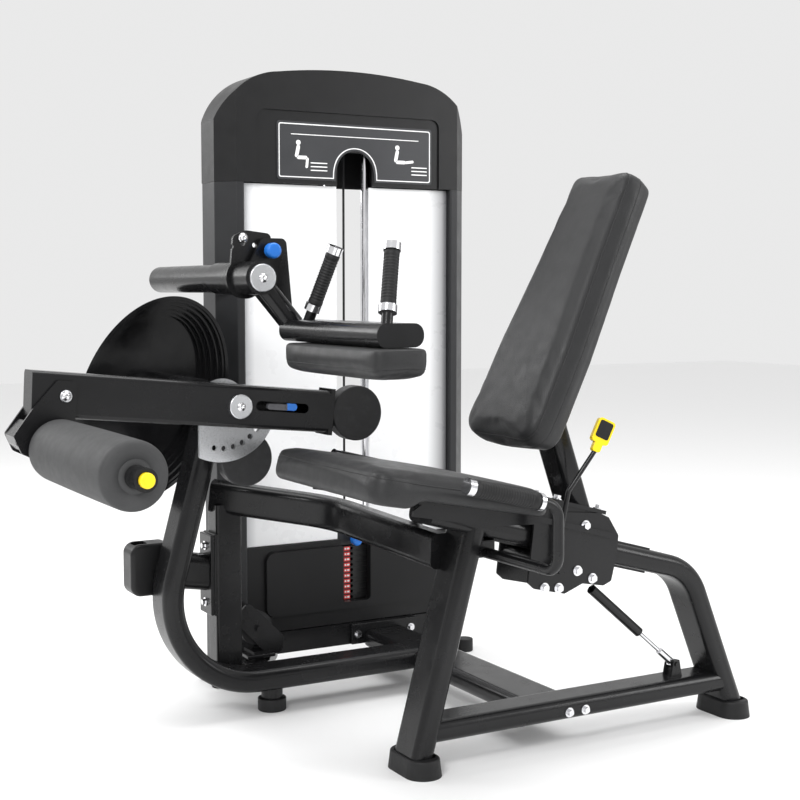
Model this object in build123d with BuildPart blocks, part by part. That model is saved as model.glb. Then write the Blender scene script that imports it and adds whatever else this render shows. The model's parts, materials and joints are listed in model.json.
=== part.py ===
"""Seated leg extension and curl machine with a weight-stack tower.

Stations x, y, z are measured from the sole of the front foot, in millimetres: x runs back along the
seat, y runs across to the tower, z is up. at() moves a station into the part's frame, whose origin is
the centre of the machine's footprint on the floor.
"""
from build123d import *
from math import cos, radians, sin, tan
import os

os.makedirs("parts", exist_ok=True)

# Footprint centre, measured from the front foot
ORIGIN_X = 68.07
ORIGIN_Y = 288.5

# Frame tube: flattened oval
TUBE_ACROSS = 95.0
TUBE_DEEP = 48.0
TUBE_WALL = 3.0
TUBE_CORNER = 18.0
END_CAP = 4.0
FLOOR_TUBE_Z = 80.0
FOOT_HEIGHT = 30.0

# Seat rail and everything that rides on it
RAIL_TILT = 15.0
RAIL_X = 315.0
RAIL_Z = 451.0
RAIL_FRONT_X = 20.0
RAIL_BEND_X = 692.0
REAR_FOOT_X = 826.0
RAIL_BEND_RADIUS = 120.0
LEG_TILT = 15.0
STRIP_THICK = 4.0

# Side handles and gas spring
HANDLE_Y = 268.0
HANDLE_X = 163.0
GAS_LOW_X = 675.0
GAS_LOW_Z = 134.0
GAS_HIGH_X = 432.0
GAS_HIGH_Z = 338.0

# Seat and back
SEAT_TILT = 10.6
SEAT_FRONT_X = -200.0
SEAT_FRONT_Z = 651.6
SEAT_LENGTH = 387.0
SEAT_WIDTH = 460.0
SEAT_THICK = 46.0
PAN_THICK = 6.0
BACK_TILT = 26.3
BACK_X = 187.0
BACK_Z = 673.0
BACK_LENGTH = 616.0
BACK_TOP_WIDTH = 192.0
BACK_LOW_WIDTH = 262.0
BACK_THICK = 80.0

# Tower
TOWER_X = 249.0
TOWER_WIDTH = 702.0
TOWER_Y = 740.0
TOWER_DEPTH = 122.0
TOWER_FOOT = 34.0
TOWER_HEIGHT = 1513.0
SIDE_WIDTH = 62.0
COVER_TOP = 338.0
COVER_BASE = 120.0
SHROUD_TOP = 1231.0
SLOT_WIDTH = 92.0
PLATE_PITCH = 14.0
PLATE_THICK = 13.4
STACK_TOP = 330.0
FIXED_PLATES = 12
ROD_SPREAD = 124.0
ROD_RADIUS = 12.0
ROD_HOLE = 13.5
REAR_OPENING = 240.0
BASE_LOW = 66.0
STACK_X = TOWER_X + 12.0
STACK_Y = TOWER_Y + 68.0
PLATE_DEEP = 78.0
PLATE_WIDTH = 240.0
PIN_RADIUS = 4.0
CORNER_CUT = 41.0
HOOD_WALL = 4.0
HOOD_LOW = TOWER_HEIGHT - 281.0
HOOD_SPRING = TOWER_HEIGHT - 132.0
BROW_LOW = TOWER_HEIGHT - 70.0
BROW_DEEP = 60.0
FIELD_HIGH = TOWER_HEIGHT - 105.0
FIELD_WIDTH = 510.0
ARCH_WIDTH = 100.0
ARCH_TALL = 82.0
TOP_PULLEY_Z = TOWER_HEIGHT - 89.0
TOP_PULLEY_RADIUS = 50.0
ROD_TOP = TOWER_HEIGHT - 165.0

# Working arm
PIVOT_X = -270.0
PIVOT_Z = 735.0
ARM_TILT = 5.6
ARM_Y = 240.0
ARM_THICK = 60.0
ARM_TALL = 88.0
ARM_LEFT = 428.0
ARM_RIGHT = 207.0
ARM_BEVEL = 4.0
SHAFT_RADIUS = 20.0
RUN_FIT = 0.06
SECTOR_Y = 330.0
CAM_FRONT_Y = 645.0
CAM_DEPTH = 90.0
CAM_LONG = 245.0
CAM_SHORT = 168.0
CAM_TILT = 25.0
CAM_TAPER = 42.0
ROLLER_X = -650.0
ROLLER_Z = 669.0
ROLLER_RADIUS = 60.0
ROLLER_HALF = 222.0
AXLE_RADIUS = 12.0
YOKE_BOLT_X = -631.0
YOKE_BOLT_Z = 770.0
YOKE_PLATE = 6.0
YOKE_GAP = 0.5
COLLAR_LENGTH = 48.0
CUP_DEEP = 14.0

# Thigh clamp
CLAMP_X = -245.0
CLAMP_Z = 996.0
CLAMP_TUBE_RADIUS = 30.0
CARRIER_X = -143.0
CARRIER_Z = 890.0
CARRIER_HALF = 202.0
THIGH_PAD_X = -150.0
THIGH_PAD_Y = -25.0
THIGH_PAD_LENGTH = 400.0
THIGH_PAD_WIDTH = 108.0
THIGH_PAD_LOW = 815.0
THIGH_PAD_THICK = 52.0
THIGH_PIN_REACH = 71.0
THIGH_PIN_ANGLE = 52.0
GRIP_LEAN_X = 36.0
GRIP_LEAN_Y = 44.0
GRIP_RISE = 138.0

# Link frame
C_TUBE_Y = 529.0
STUB_X = -73.0
LINK_X = 340.0
POST_X = -153.0
POST_Y = 610.0
HOUSING_X = -338.0
TIE_PULLEY_X = -70.0
TIE_PULLEY_Z = 172.0
TIE_PULLEY_RADIUS = 40.0


def at(x, y, z):
    """Station on the machine, moved into the part's frame."""
    return (x - ORIGIN_X, y - ORIGIN_Y, z)


def side_plane(y):
    """Upright plane across the machine at station y: sketch x is station x, sketch y is height."""
    return Plane(origin=at(0, y, 0), x_dir=(1, 0, 0), z_dir=(0, -1, 0))


def rail_plane(y):
    """Upright plane whose sketch x runs down the rail from RAIL_X and whose sketch y rises off it."""
    lean = radians(RAIL_TILT)
    along = (cos(lean), 0, -sin(lean))
    return Plane(origin=at(RAIL_X, y, RAIL_Z), x_dir=along, z_dir=(0, -1, 0))


def rail_z(x):
    """Height of the rail's centreline at station x."""
    return RAIL_Z - tan(radians(RAIL_TILT)) * (x - RAIL_X)


def save(piece, name):
    """Labels a finished piece and writes it to its own file."""
    piece.label = name
    export_step(piece, f"parts/{name}.step")


def toward(start, end, amount):
    """Point that lies amount from start, on the way to end."""
    run = Vector(*end) - Vector(*start)
    point = Vector(*start) + run.normalized() * amount
    return point.to_tuple()


def tube_body(route, width, height, corner, bend, level):
    """Solid swept along straight runs and equal bends, with its wide side along level."""
    with BuildPart() as body:
        with BuildLine() as path:
            if len(route) > 2:
                FilletPolyline(*route, radius=bend)
            else:
                Line(*route)
        with BuildSketch(Plane(origin=path.line @ 0, x_dir=level, z_dir=path.line % 0)):
            RectangleRounded(width, height, corner)
        sweep()
    return body.part


def oval_tube(route, width=TUBE_ACROSS, height=TUBE_DEEP, corner=TUBE_CORNER, bend=0.0,
              level=(0, 1, 0), wall=TUBE_WALL):
    """Hollow tube with closed ends."""
    outside = tube_body(route, width, height, corner, bend, level)
    inner = [toward(route[0], route[1], END_CAP), *route[1:-1], toward(route[-1], route[-2], END_CAP)]
    inside = tube_body(inner, width - 2 * wall, height - 2 * wall, corner - wall, bend, level)
    with BuildPart() as tube:
        add(outside)
        add(inside, mode=Mode.SUBTRACT)
    return tube.part


def round_bar(start, end, radius, bore=0.0):
    """Round bar, or round tube with a bore, between two points."""
    run = Vector(*end) - Vector(*start)
    with BuildPart(Plane(origin=start, z_dir=run.to_tuple())) as bar:
        Cylinder(radius, run.length, align=(Align.CENTER, Align.CENTER, Align.MIN))
        if bore:
            Cylinder(bore, run.length, align=(Align.CENTER, Align.CENTER, Align.MIN), mode=Mode.SUBTRACT)
    return bar.part


def bent_bar(route, radius, bend):
    """Round bar along straight runs and equal bends."""
    with BuildPart() as bar:
        with BuildLine() as path:
            FilletPolyline(*route, radius=bend)
        with BuildSketch(Plane(origin=path.line @ 0, z_dir=path.line % 0)):
            Circle(radius)
        sweep()
    return bar.part


def flat_plate(plane, outline, thick, corner):
    """Plate on a plane, grown along the plane's normal, with every corner rounded."""
    with BuildPart() as plate:
        with BuildSketch(plane) as face:
            with BuildLine():
                Polyline(*outline, close=True)
            make_face()
            fillet(face.vertices(), corner)
        extrude(amount=thick)
    return plate.part


def block(centre, size, round_off=0.0):
    """Box about a station, with its edges rounded when round_off is given."""
    with BuildPart(Plane(origin=at(*centre))) as box:
        Box(*size)
        if round_off:
            fillet(box.edges(), round_off)
    return box.part


def bolt(point, out, radius=7.0, washer=10.5):
    """Hexagon head with its washer on a face at point, standing out along out."""
    with BuildPart(Plane(origin=point, z_dir=out)) as head:
        Cylinder(washer, 2.0, align=(Align.CENTER, Align.CENTER, Align.MIN))
        with BuildSketch(Plane(origin=point, z_dir=out).offset(2.0)):
            RegularPolygon(radius, 6)
        extrude(amount=7.0)
    return head.part


def group(pieces):
    """Several separate solids as one node."""
    return Compound(children=list(pieces))


def joined(pieces):
    """Pieces welded into one solid."""
    with BuildPart() as weld:
        for piece in pieces:
            add(piece)
    return weld.part


# ---------------------------------------------------------------- seat frame
def make_front_leg():
    lean = tan(radians(LEG_TILT))
    top = rail_z(110.0) - 12.0
    route = [at(-lean * 40, 0, -10), at(lean * (top - FOOT_HEIGHT) + 2, 0, top)]
    leg = oval_tube(route)
    with BuildPart() as trimmed:
        add(leg)
        split(bisect_by=Plane.XY.offset(FOOT_HEIGHT), keep=Keep.TOP)
    save(trimmed.part, "front_leg")


def make_seat_rail():
    """Sloping rail that bends down into the rear leg, with its two slide strips."""
    corner_z = rail_z(RAIL_BEND_X)
    low = -12.0
    slope = (REAR_FOOT_X - RAIL_BEND_X) / (corner_z - FOOT_HEIGHT)
    foot_x = RAIL_BEND_X + slope * (corner_z - low)
    route = [at(RAIL_FRONT_X, 0, rail_z(RAIL_FRONT_X)), at(RAIL_BEND_X, 0, corner_z), at(foot_x, 0, low)]
    rail = oval_tube(route, bend=RAIL_BEND_RADIUS)
    with BuildPart() as trimmed:
        add(rail)
        split(bisect_by=Plane.XY.offset(FOOT_HEIGHT), keep=Keep.TOP)
    save(joined([trimmed.part, rail_strip(1), rail_strip(-1)]), "seat_rail")


def rail_strip(side):
    """Slide strip on the rail's top or under it, as far as the carriage travels."""
    lift = side * (TUBE_DEEP / 2 + STRIP_THICK / 2)
    with BuildPart() as strip:
        with BuildSketch(rail_plane(-28.0)):
            with Locations((65.0, lift)):
                Rectangle(410.0, STRIP_THICK)
        extrude(amount=-56.0)
    return strip.part


def make_crossbar():
    """Floor tube between the two feet, with the gas spring's lug welded on top."""
    height = FLOOR_TUBE_Z + 4
    bar = oval_tube([at(16, 0, height), at(800, 0, height)], 90.0, 44.0, 17.0)
    ears = []
    for y in (-15.0, 9.0):
        outline = [(658, FLOOR_TUBE_Z + 18), (692, FLOOR_TUBE_Z + 18), (683, 144), (667, 144)]
        ears.append(flat_plate(side_plane(y + 6.0), outline, 6.0, 3.0))
    pin = round_bar(at(GAS_LOW_X, -18, GAS_LOW_Z), at(GAS_LOW_X, 18, GAS_LOW_Z), 5.0)
    save(joined([bar, *ears, pin]), "crossbar")


def make_link_beam():
    start = at(LINK_X, 30, FLOOR_TUBE_Z - 2)
    end = at(LINK_X, TOWER_Y - 8, FLOOR_TUBE_Z - 2)
    beam = oval_tube([start, end], 122.0, 44.0, 17.0, level=(1, 0, 0))
    flange = block((LINK_X, TOWER_Y + 1, BASE_LOW + 26), (190, 10, 52), 2.0)
    save(joined([beam, flange]), "link_beam")


def make_transverse_beam():
    """Upper beam from the front leg to the upright post, bent in plan and rising to the post."""
    route = [at(78, 22, 440), at(50, 452, 462), at(POST_X - 26, POST_Y + 14, 497)]
    save(oval_tube(route, 74.0, 50.0, 16.0, bend=150.0, level=(0, 0, 1)), "transverse_beam")


def make_c_frame():
    lean = 0.27
    left_x = -335.0
    left_z = 270.0
    corner_x = left_x + lean * (FLOOR_TUBE_Z - left_z)
    top_z = PIVOT_Z - 34.0
    route = [at(LINK_X - 40, C_TUBE_Y, FLOOR_TUBE_Z), at(corner_x, C_TUBE_Y, FLOOR_TUBE_Z),
             at(left_x + lean * (top_z - left_z), C_TUBE_Y, top_z)]
    tube = oval_tube(route, 96.0, 50.0, 19.0, bend=205.0)
    stub = round_bar(at(STUB_X, C_TUBE_Y, FOOT_HEIGHT), at(STUB_X, C_TUBE_Y, FLOOR_TUBE_Z - 23), 25.0)
    save(joined([tube, stub]), "c_frame_tube")


def oval_foot(x, y):
    """Rubber foot: stadium in plan, wider at the sole."""
    with BuildPart() as foot:
        with BuildSketch(Plane(origin=at(x, y, 0))):
            SlotOverall(142.0, 78.0, rotation=90)
        extrude(amount=FOOT_HEIGHT + 8, taper=7)
        fillet(foot.edges().group_by(Axis.Z)[-1], 5.0)
        with BuildSketch(Plane(origin=at(x, y, FOOT_HEIGHT))):
            RectangleRounded(TUBE_DEEP + 9, TUBE_ACROSS + 3, TUBE_CORNER)
        extrude(amount=20.0, mode=Mode.SUBTRACT)
    return foot.part


def round_foot(x, y, radius, height):
    """Turned rubber foot with a softened sole and top."""
    with BuildPart(Plane(origin=at(x, y, 0))) as foot:
        Cylinder(radius, height, align=(Align.CENTER, Align.CENTER, Align.MIN))
        fillet(foot.edges().filter_by(GeomType.CIRCLE), 3.0)
    return foot.part


def make_rubber_feet():
    """Feet under the frame and the tower, and the bumpers under the stack."""
    feet = [oval_foot(4, 0), oval_foot(REAR_FOOT_X + 2, 0), round_foot(STUB_X, C_TUBE_Y, 33, FOOT_HEIGHT)]
    half = TOWER_WIDTH / 2 + 2
    for x in (TOWER_X - half, TOWER_X + half):
        for y in (TOWER_Y + 24, TOWER_Y + TOWER_DEPTH - 24):
            feet.append(round_foot(x, y, 23, TOWER_FOOT - 0.3))
    for x in (-ROD_SPREAD / 2, ROD_SPREAD / 2):
        low = at(STACK_X + x, STACK_Y, COVER_BASE)
        high = at(STACK_X + x, STACK_Y, STACK_TOP - FIXED_PLATES * PLATE_PITCH - 0.6)
        feet.append(round_bar(low, high, 22.0, ROD_RADIUS + 0.4))
    save(group(feet), "rubber_feet")


def make_upright_post():
    """Post beside the C frame with the flange that the outrigger bolts to."""
    post = oval_tube([at(POST_X, POST_Y, 58), at(POST_X, POST_Y, 478)], 64.0, 52.0, 6.0, level=(1, 0, 0))
    flange = block((POST_X - 36, POST_Y, 318), (9, 70, 190), 2.0)
    save(joined([post, flange]), "upright_post")


def make_outrigger():
    start = at(POST_X - 46.0, POST_Y, 322)
    arm = oval_tube([start, at(-300, POST_Y, 338)], 84.0, 56.0, 22.0, level=(0, 0, 1))
    flange = block((POST_X - 45, POST_Y, 318), (9, 70, 186), 2.0)
    save(joined([arm, flange]), "outrigger")


def make_pulley_housing():
    """Rounded housing at the outrigger's end, open on top for the cable from the cam."""
    with BuildPart(Plane(origin=at(HOUSING_X, POST_Y, 345))) as housing:
        Box(104, 64, 118)
        fillet(housing.edges().filter_by(Axis.Y), 24.0)
        fillet(housing.edges().filter_by(Axis.Z), 9.0)
        with BuildSketch(Plane(origin=at(HOUSING_X - 24, POST_Y, 410))):
            RectangleRounded(30, 40, 8)
        extrude(amount=-90.0, mode=Mode.SUBTRACT)
    save(housing.part, "pulley_housing")


def make_pivot_housing():
    bore = SHAFT_RADIUS + RUN_FIT
    ring = round_bar(at(PIVOT_X, 462, PIVOT_Z), at(PIVOT_X, 600, PIVOT_Z), 45.0, bore)
    save(ring, "pivot_housing")


def make_rear_tie():
    """Low tube from the C frame to the tower base, with its plate and the two slanted cable guards."""
    tube = oval_tube([at(-108, C_TUBE_Y + 40, 78), at(8, TOWER_Y + 6, 78)], 60.0, 44.0, 12.0,
                     level=(1, 0, 0))
    plate = block((-70, 655, 110), (70, 130, 8), 2.0)
    guards = []
    for y in (612.0, 660.0):
        outline = [(-118, 215), (-94, 238), (-4, 148), (-8, 110), (-44, 104), (-114, 178)]
        guards.append(flat_plate(side_plane(y + 6.0), outline, 6.0, 12.0))
    axle = round_bar(at(TIE_PULLEY_X, 604, TIE_PULLEY_Z), at(TIE_PULLEY_X, 662, TIE_PULLEY_Z), 7.0)
    foot = block((-64, 636, 106), (40, 62, 24))
    save(joined([tube, plate, *guards, axle, foot]), "rear_tie")


def pulley(centre, radius, width, bore, axis):
    """Grooved cable pulley about a centre, with a plain bore."""
    groove = 5.0
    with BuildPart(Plane(origin=centre, z_dir=axis)) as wheel:
        Cylinder(radius, width)
        Torus(radius, groove, mode=Mode.SUBTRACT)
        Cylinder(bore, width, mode=Mode.SUBTRACT)
    return wheel.part


def make_tie_pulley():
    centre = at(TIE_PULLEY_X, 633, TIE_PULLEY_Z)
    save(pulley(centre, TIE_PULLEY_RADIUS, 26.0, 7.0 + RUN_FIT, (0, 1, 0)), "tie_pulley")


# ---------------------------------------------------------------- tower
def make_tower_sides():
    """Left and right uprights: hollow, with the outer front corner cut to a facet."""
    shells = []
    top = HOOD_LOW - 0.5
    for side in (-1, 1):
        x = TOWER_X + side * (TOWER_WIDTH / 2 - SIDE_WIDTH / 2)
        with BuildPart(Plane(origin=at(x, TOWER_Y + TOWER_DEPTH / 2, (top + TOWER_FOOT) / 2))) as shell:
            Box(SIDE_WIDTH, TOWER_DEPTH, top - TOWER_FOOT)
            front = shell.edges().filter_by(Axis.Z).group_by(Axis.Y)[0].sort_by(Axis.X)
            chamfer(front[-1:] if side > 0 else front[:1], CORNER_CUT)
            fillet(shell.edges().filter_by(Axis.Z), 5.0)
            with BuildSketch(Plane(origin=at(x, TOWER_Y + CORNER_CUT + 38, TOWER_FOOT + END_CAP))):
                RectangleRounded(SIDE_WIDTH - 8, 72, 4)
            extrude(amount=top - TOWER_FOOT - 2 * END_CAP, mode=Mode.SUBTRACT)
        shells.append(shell.part)
    save(group(shells), "tower_sides")


def make_tower_base():
    """Shallow base under the cover, open below, that the stack's rods stand on."""
    inner = TOWER_WIDTH - 2 * SIDE_WIDTH - 1
    tall = COVER_BASE - BASE_LOW
    with BuildPart(Plane(origin=at(TOWER_X, TOWER_Y + TOWER_DEPTH / 2, BASE_LOW + tall / 2))) as base:
        Box(inner, TOWER_DEPTH - 12, tall)
        with BuildSketch(Plane(origin=at(TOWER_X, TOWER_Y + TOWER_DEPTH / 2, BASE_LOW))):
            Rectangle(inner - 8, TOWER_DEPTH - 20)
        extrude(amount=tall - 8, mode=Mode.SUBTRACT)
    save(base.part, "tower_base")


def hood_body(inset, low):
    """Hood solid inset from its skin: arched top, sloped brow and cut front corners."""
    half = TOWER_WIDTH / 2 - inset
    spring = HOOD_SPRING - inset
    crest = TOWER_HEIGHT - inset
    corner = CORNER_CUT - 0.6 * inset
    front = TOWER_Y + inset
    with BuildPart() as body:
        with BuildSketch(side_plane(TOWER_Y + TOWER_DEPTH - inset)):
            with BuildLine():
                Polyline((TOWER_X - half, spring), (TOWER_X - half, low), (TOWER_X + half, low),
                         (TOWER_X + half, spring))
                ThreePointArc((TOWER_X + half, spring), (TOWER_X + 0.843 * half, spring + 80),
                              (TOWER_X + 0.57 * half, crest - 14))
                ThreePointArc((TOWER_X + 0.57 * half, crest - 14), (TOWER_X, crest),
                              (TOWER_X - 0.57 * half, crest - 14))
                ThreePointArc((TOWER_X - 0.57 * half, crest - 14), (TOWER_X - 0.843 * half, spring + 80),
                              (TOWER_X - half, spring))
            make_face()
        extrude(amount=TOWER_DEPTH - 2 * inset)
        with BuildSketch(Plane(origin=at(TOWER_X, front, low - 10))):
            for side in (-1, 1):
                with BuildLine():
                    Polyline((side * (half - corner), 0), (side * (half + 20), corner + 20),
                             (side * (half + 20), -20), (side * (half - corner), -20), close=True)
                make_face()
        extrude(amount=400.0, mode=Mode.SUBTRACT)
        with BuildSketch(Plane(origin=at(TOWER_X - half - 5, 0, 0), x_dir=(0, 1, 0), z_dir=(1, 0, 0))):
            with BuildLine():
                Polyline((front - ORIGIN_Y - 20, BROW_LOW - inset), (front - ORIGIN_Y, BROW_LOW - inset),
                         (front - ORIGIN_Y + BROW_DEEP, crest), (front - ORIGIN_Y + BROW_DEEP, crest + 40),
                         (front - ORIGIN_Y - 20, crest + 40), close=True)
            make_face()
        extrude(amount=2 * half + 10, mode=Mode.SUBTRACT)
    return body.part


def make_tower_hood():
    """Hood shell over the tower's head, open below and cut away in front for the inner panel."""
    with BuildPart() as hood:
        add(hood_body(0.0, HOOD_LOW))
        add(hood_body(HOOD_WALL, HOOD_LOW - HOOD_WALL), mode=Mode.SUBTRACT)
        with BuildSketch(side_plane(TOWER_Y + 20)) as window:
            with Locations((TOWER_X, (HOOD_LOW + FIELD_HIGH) / 2 - 20)):
                Rectangle(FIELD_WIDTH, FIELD_HIGH - HOOD_LOW + 40)
            fillet(window.vertices().group_by(Axis.Y)[-1], 22.0)
        extrude(amount=40.0, mode=Mode.SUBTRACT)
    save(hood.part, "tower_hood")


def make_hood_panel():
    """Panel set back in the hood's window, with the arch that the weight stack shows through."""
    high = FIELD_HIGH + 8
    with BuildPart() as panel:
        with BuildSketch(side_plane(TOWER_Y + 12)):
            with Locations((TOWER_X, (HOOD_LOW + high) / 2)):
                Rectangle(FIELD_WIDTH + 16, high - HOOD_LOW)
            with Locations((STACK_X, HOOD_LOW)):
                RectangleRounded(ARCH_WIDTH, 2 * ARCH_TALL, 38.0, mode=Mode.SUBTRACT)
        extrude(amount=7.5)
    save(panel.part, "hood_panel")


def make_shroud_panels():
    """Frosted panels either side of the stack's opening, in front and, set wider apart, behind."""
    panels = []
    tall = SHROUD_TOP - COVER_TOP - 2
    edge = TOWER_WIDTH / 2 - SIDE_WIDTH - 0.5
    for side in (-1, 1):
        inner = STACK_X + side * SLOT_WIDTH / 2
        outer = TOWER_X + side * edge
        centre = ((inner + outer) / 2, TOWER_Y + 19, (SHROUD_TOP + COVER_TOP) / 2)
        panels.append(block(centre, (abs(outer - inner), 5, tall), 1.2))
        inner = STACK_X + side * REAR_OPENING / 2
        centre = ((inner + outer) / 2, TOWER_Y + TOWER_DEPTH - 5, (SHROUD_TOP + COVER_TOP) / 2)
        panels.append(block(centre, (abs(outer - inner), 5, tall), 1.2))
    save(group(panels), "shroud_panels")


def make_lower_cover():
    """Moulded cover over the stack's lower end: raised field, rounded corners and the plate slot."""
    low = COVER_BASE + 2
    middle = (low + COVER_TOP) / 2
    tall = COVER_TOP - low
    with BuildPart() as cover:
        with BuildSketch(side_plane(TOWER_Y + 24)):
            with Locations((TOWER_X, middle)):
                Rectangle(TOWER_WIDTH - 2 * SIDE_WIDTH - 1, tall)
        extrude(amount=14.0)
        with BuildSketch(side_plane(TOWER_Y + 10)):
            with Locations((TOWER_X + 6, middle + 12)):
                RectangleRounded(TOWER_WIDTH - 2 * SIDE_WIDTH - 84, tall - 50, 26)
        extrude(amount=11.0, taper=12)
        with BuildSketch(side_plane(TOWER_Y + 20)):
            with Locations((STACK_X, middle)):
                Rectangle(TOWER_WIDTH - 2 * SIDE_WIDTH - 100, tall - 24)
        extrude(amount=-10.0, mode=Mode.SUBTRACT)
        with BuildSketch(side_plane(TOWER_Y + 30)):
            with Locations((STACK_X, middle + 38)):
                RectangleRounded(SLOT_WIDTH - 12, tall - 36, 10)
        extrude(amount=40.0, mode=Mode.SUBTRACT)
    save(cover.part, "lower_cover")


def make_rear_cover():
    """Plain panel behind the resting plates."""
    low = COVER_BASE + 2
    high = COVER_TOP - 1
    centre = (TOWER_X, TOWER_Y + TOWER_DEPTH - 5, (low + high) / 2)
    save(block(centre, (TOWER_WIDTH - 2 * SIDE_WIDTH - 1, 5, high - low), 2.0), "rear_cover")


def make_guide_rods():
    rods = []
    for x in (-ROD_SPREAD / 2, ROD_SPREAD / 2):
        low = at(STACK_X + x, STACK_Y, COVER_BASE)
        high = at(STACK_X + x, STACK_Y, ROD_TOP)
        rods.append(round_bar(low, high, ROD_RADIUS))
    save(group(rods), "guide_rods")


def weight_plate(top):
    """One weight plate below height top, with guide-rod holes and the selector hole."""
    centre = (STACK_X, STACK_Y, top - PLATE_THICK / 2)
    with BuildPart(Plane(origin=at(*centre))) as plate:
        Box(PLATE_WIDTH, PLATE_DEEP, PLATE_THICK)
        fillet(plate.edges().filter_by(Axis.Z), 6.0)
        with Locations((-ROD_SPREAD / 2, 0), (ROD_SPREAD / 2, 0)):
            Hole(ROD_HOLE)
        with BuildSketch(Plane(origin=at(STACK_X, TOWER_Y, top - PLATE_THICK / 2), x_dir=(1, 0, 0),
                               z_dir=(0, 1, 0))):
            Circle(4.5)
        extrude(amount=STACK_Y - TOWER_Y + 10, mode=Mode.SUBTRACT)
        with BuildSketch(Plane(origin=at(*centre)).offset(-PLATE_THICK / 2)):
            Circle(11.5)
        extrude(amount=PLATE_THICK, mode=Mode.SUBTRACT)
    return plate.part


def make_stack():
    """Resting plates, and the head plate with its stem, which the cable lifts."""
    fixed = [weight_plate(STACK_TOP - PLATE_PITCH * n) for n in range(1, FIXED_PLATES)]
    save(group(fixed), "fixed_plates")
    centre = (STACK_X, STACK_Y, STACK_TOP)
    with BuildPart(Plane(origin=at(*centre))) as head:
        with Locations((0, 0, 6)):
            Box(PLATE_WIDTH, PLATE_DEEP, 32)
        fillet(head.edges().filter_by(Axis.Z), 6.0)
        with Locations((-ROD_SPREAD / 2, 0, 22), (ROD_SPREAD / 2, 0, 22)):
            Hole(ROD_HOLE, depth=60)
        with BuildSketch(Plane(origin=at(*centre)).offset(20)):
            Circle(14)
        extrude(amount=34)
        with BuildSketch(Plane(origin=at(*centre)).offset(-4)):
            Circle(10.5)
        extrude(amount=-PLATE_PITCH * (FIXED_PLATES - 1) + 6)
        with BuildSketch(Plane(origin=at(STACK_X, TOWER_Y, STACK_TOP + 4), x_dir=(1, 0, 0),
                               z_dir=(0, 1, 0))):
            Circle(PIN_RADIUS + RUN_FIT)
        extrude(amount=STACK_Y - TOWER_Y, mode=Mode.SUBTRACT)
    save(head.part, "lifted_plate")


def make_selector_pin():
    z = STACK_TOP + 4
    x = STACK_X
    knob_y = TOWER_Y + 2
    shank = round_bar(at(x, knob_y, z), at(x, STACK_Y - 6, z), PIN_RADIUS)
    with BuildPart(Plane(origin=at(x, knob_y, z), z_dir=(0, 1, 0))) as knob:
        Cylinder(13.0, 22.0)
        fillet(knob.edges().filter_by(GeomType.CIRCLE), 5.0)
    save(joined([shank, knob.part]), "selector_pin")


def make_top_pulley():
    centre = at(STACK_X - TOP_PULLEY_RADIUS, STACK_Y, TOP_PULLEY_Z)
    save(pulley(centre, TOP_PULLEY_RADIUS, 24.0, 8.0 + RUN_FIT, (0, 1, 0)), "top_pulley")


def make_top_carrier():
    """Head frame that caps the guide rods and holds the top pulley's axle."""
    bar = block((TOWER_X, STACK_Y + 34, ROD_TOP + 40), (TOWER_WIDTH - 150, 12, 90), 2.0)
    seats = [block((STACK_X + x, STACK_Y + 7, ROD_TOP + 8), (40, 46, 16), 2.0)
             for x in (-ROD_SPREAD / 2, ROD_SPREAD / 2)]
    axle = round_bar(at(STACK_X - TOP_PULLEY_RADIUS, STACK_Y - 16, TOP_PULLEY_Z),
                     at(STACK_X - TOP_PULLEY_RADIUS, STACK_Y + 30, TOP_PULLEY_Z), 8.0)
    save(joined([bar, *seats, axle]), "top_carrier")


def make_stack_cable():
    top = TOP_PULLEY_Z - 12
    low = STACK_TOP + 55
    save(round_bar(at(STACK_X, STACK_Y, low), at(STACK_X, STACK_Y, top), 3.0), "stack_cable")


# ---------------------------------------------------------------- working arm
def arm_plane(y):
    """Upright plane with its sketch x along the arm, away from the roller, from the pivot."""
    lean = radians(ARM_TILT)
    return Plane(origin=at(PIVOT_X, y, PIVOT_Z), x_dir=(cos(lean), 0, -sin(lean)), z_dir=(0, -1, 0))


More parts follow.
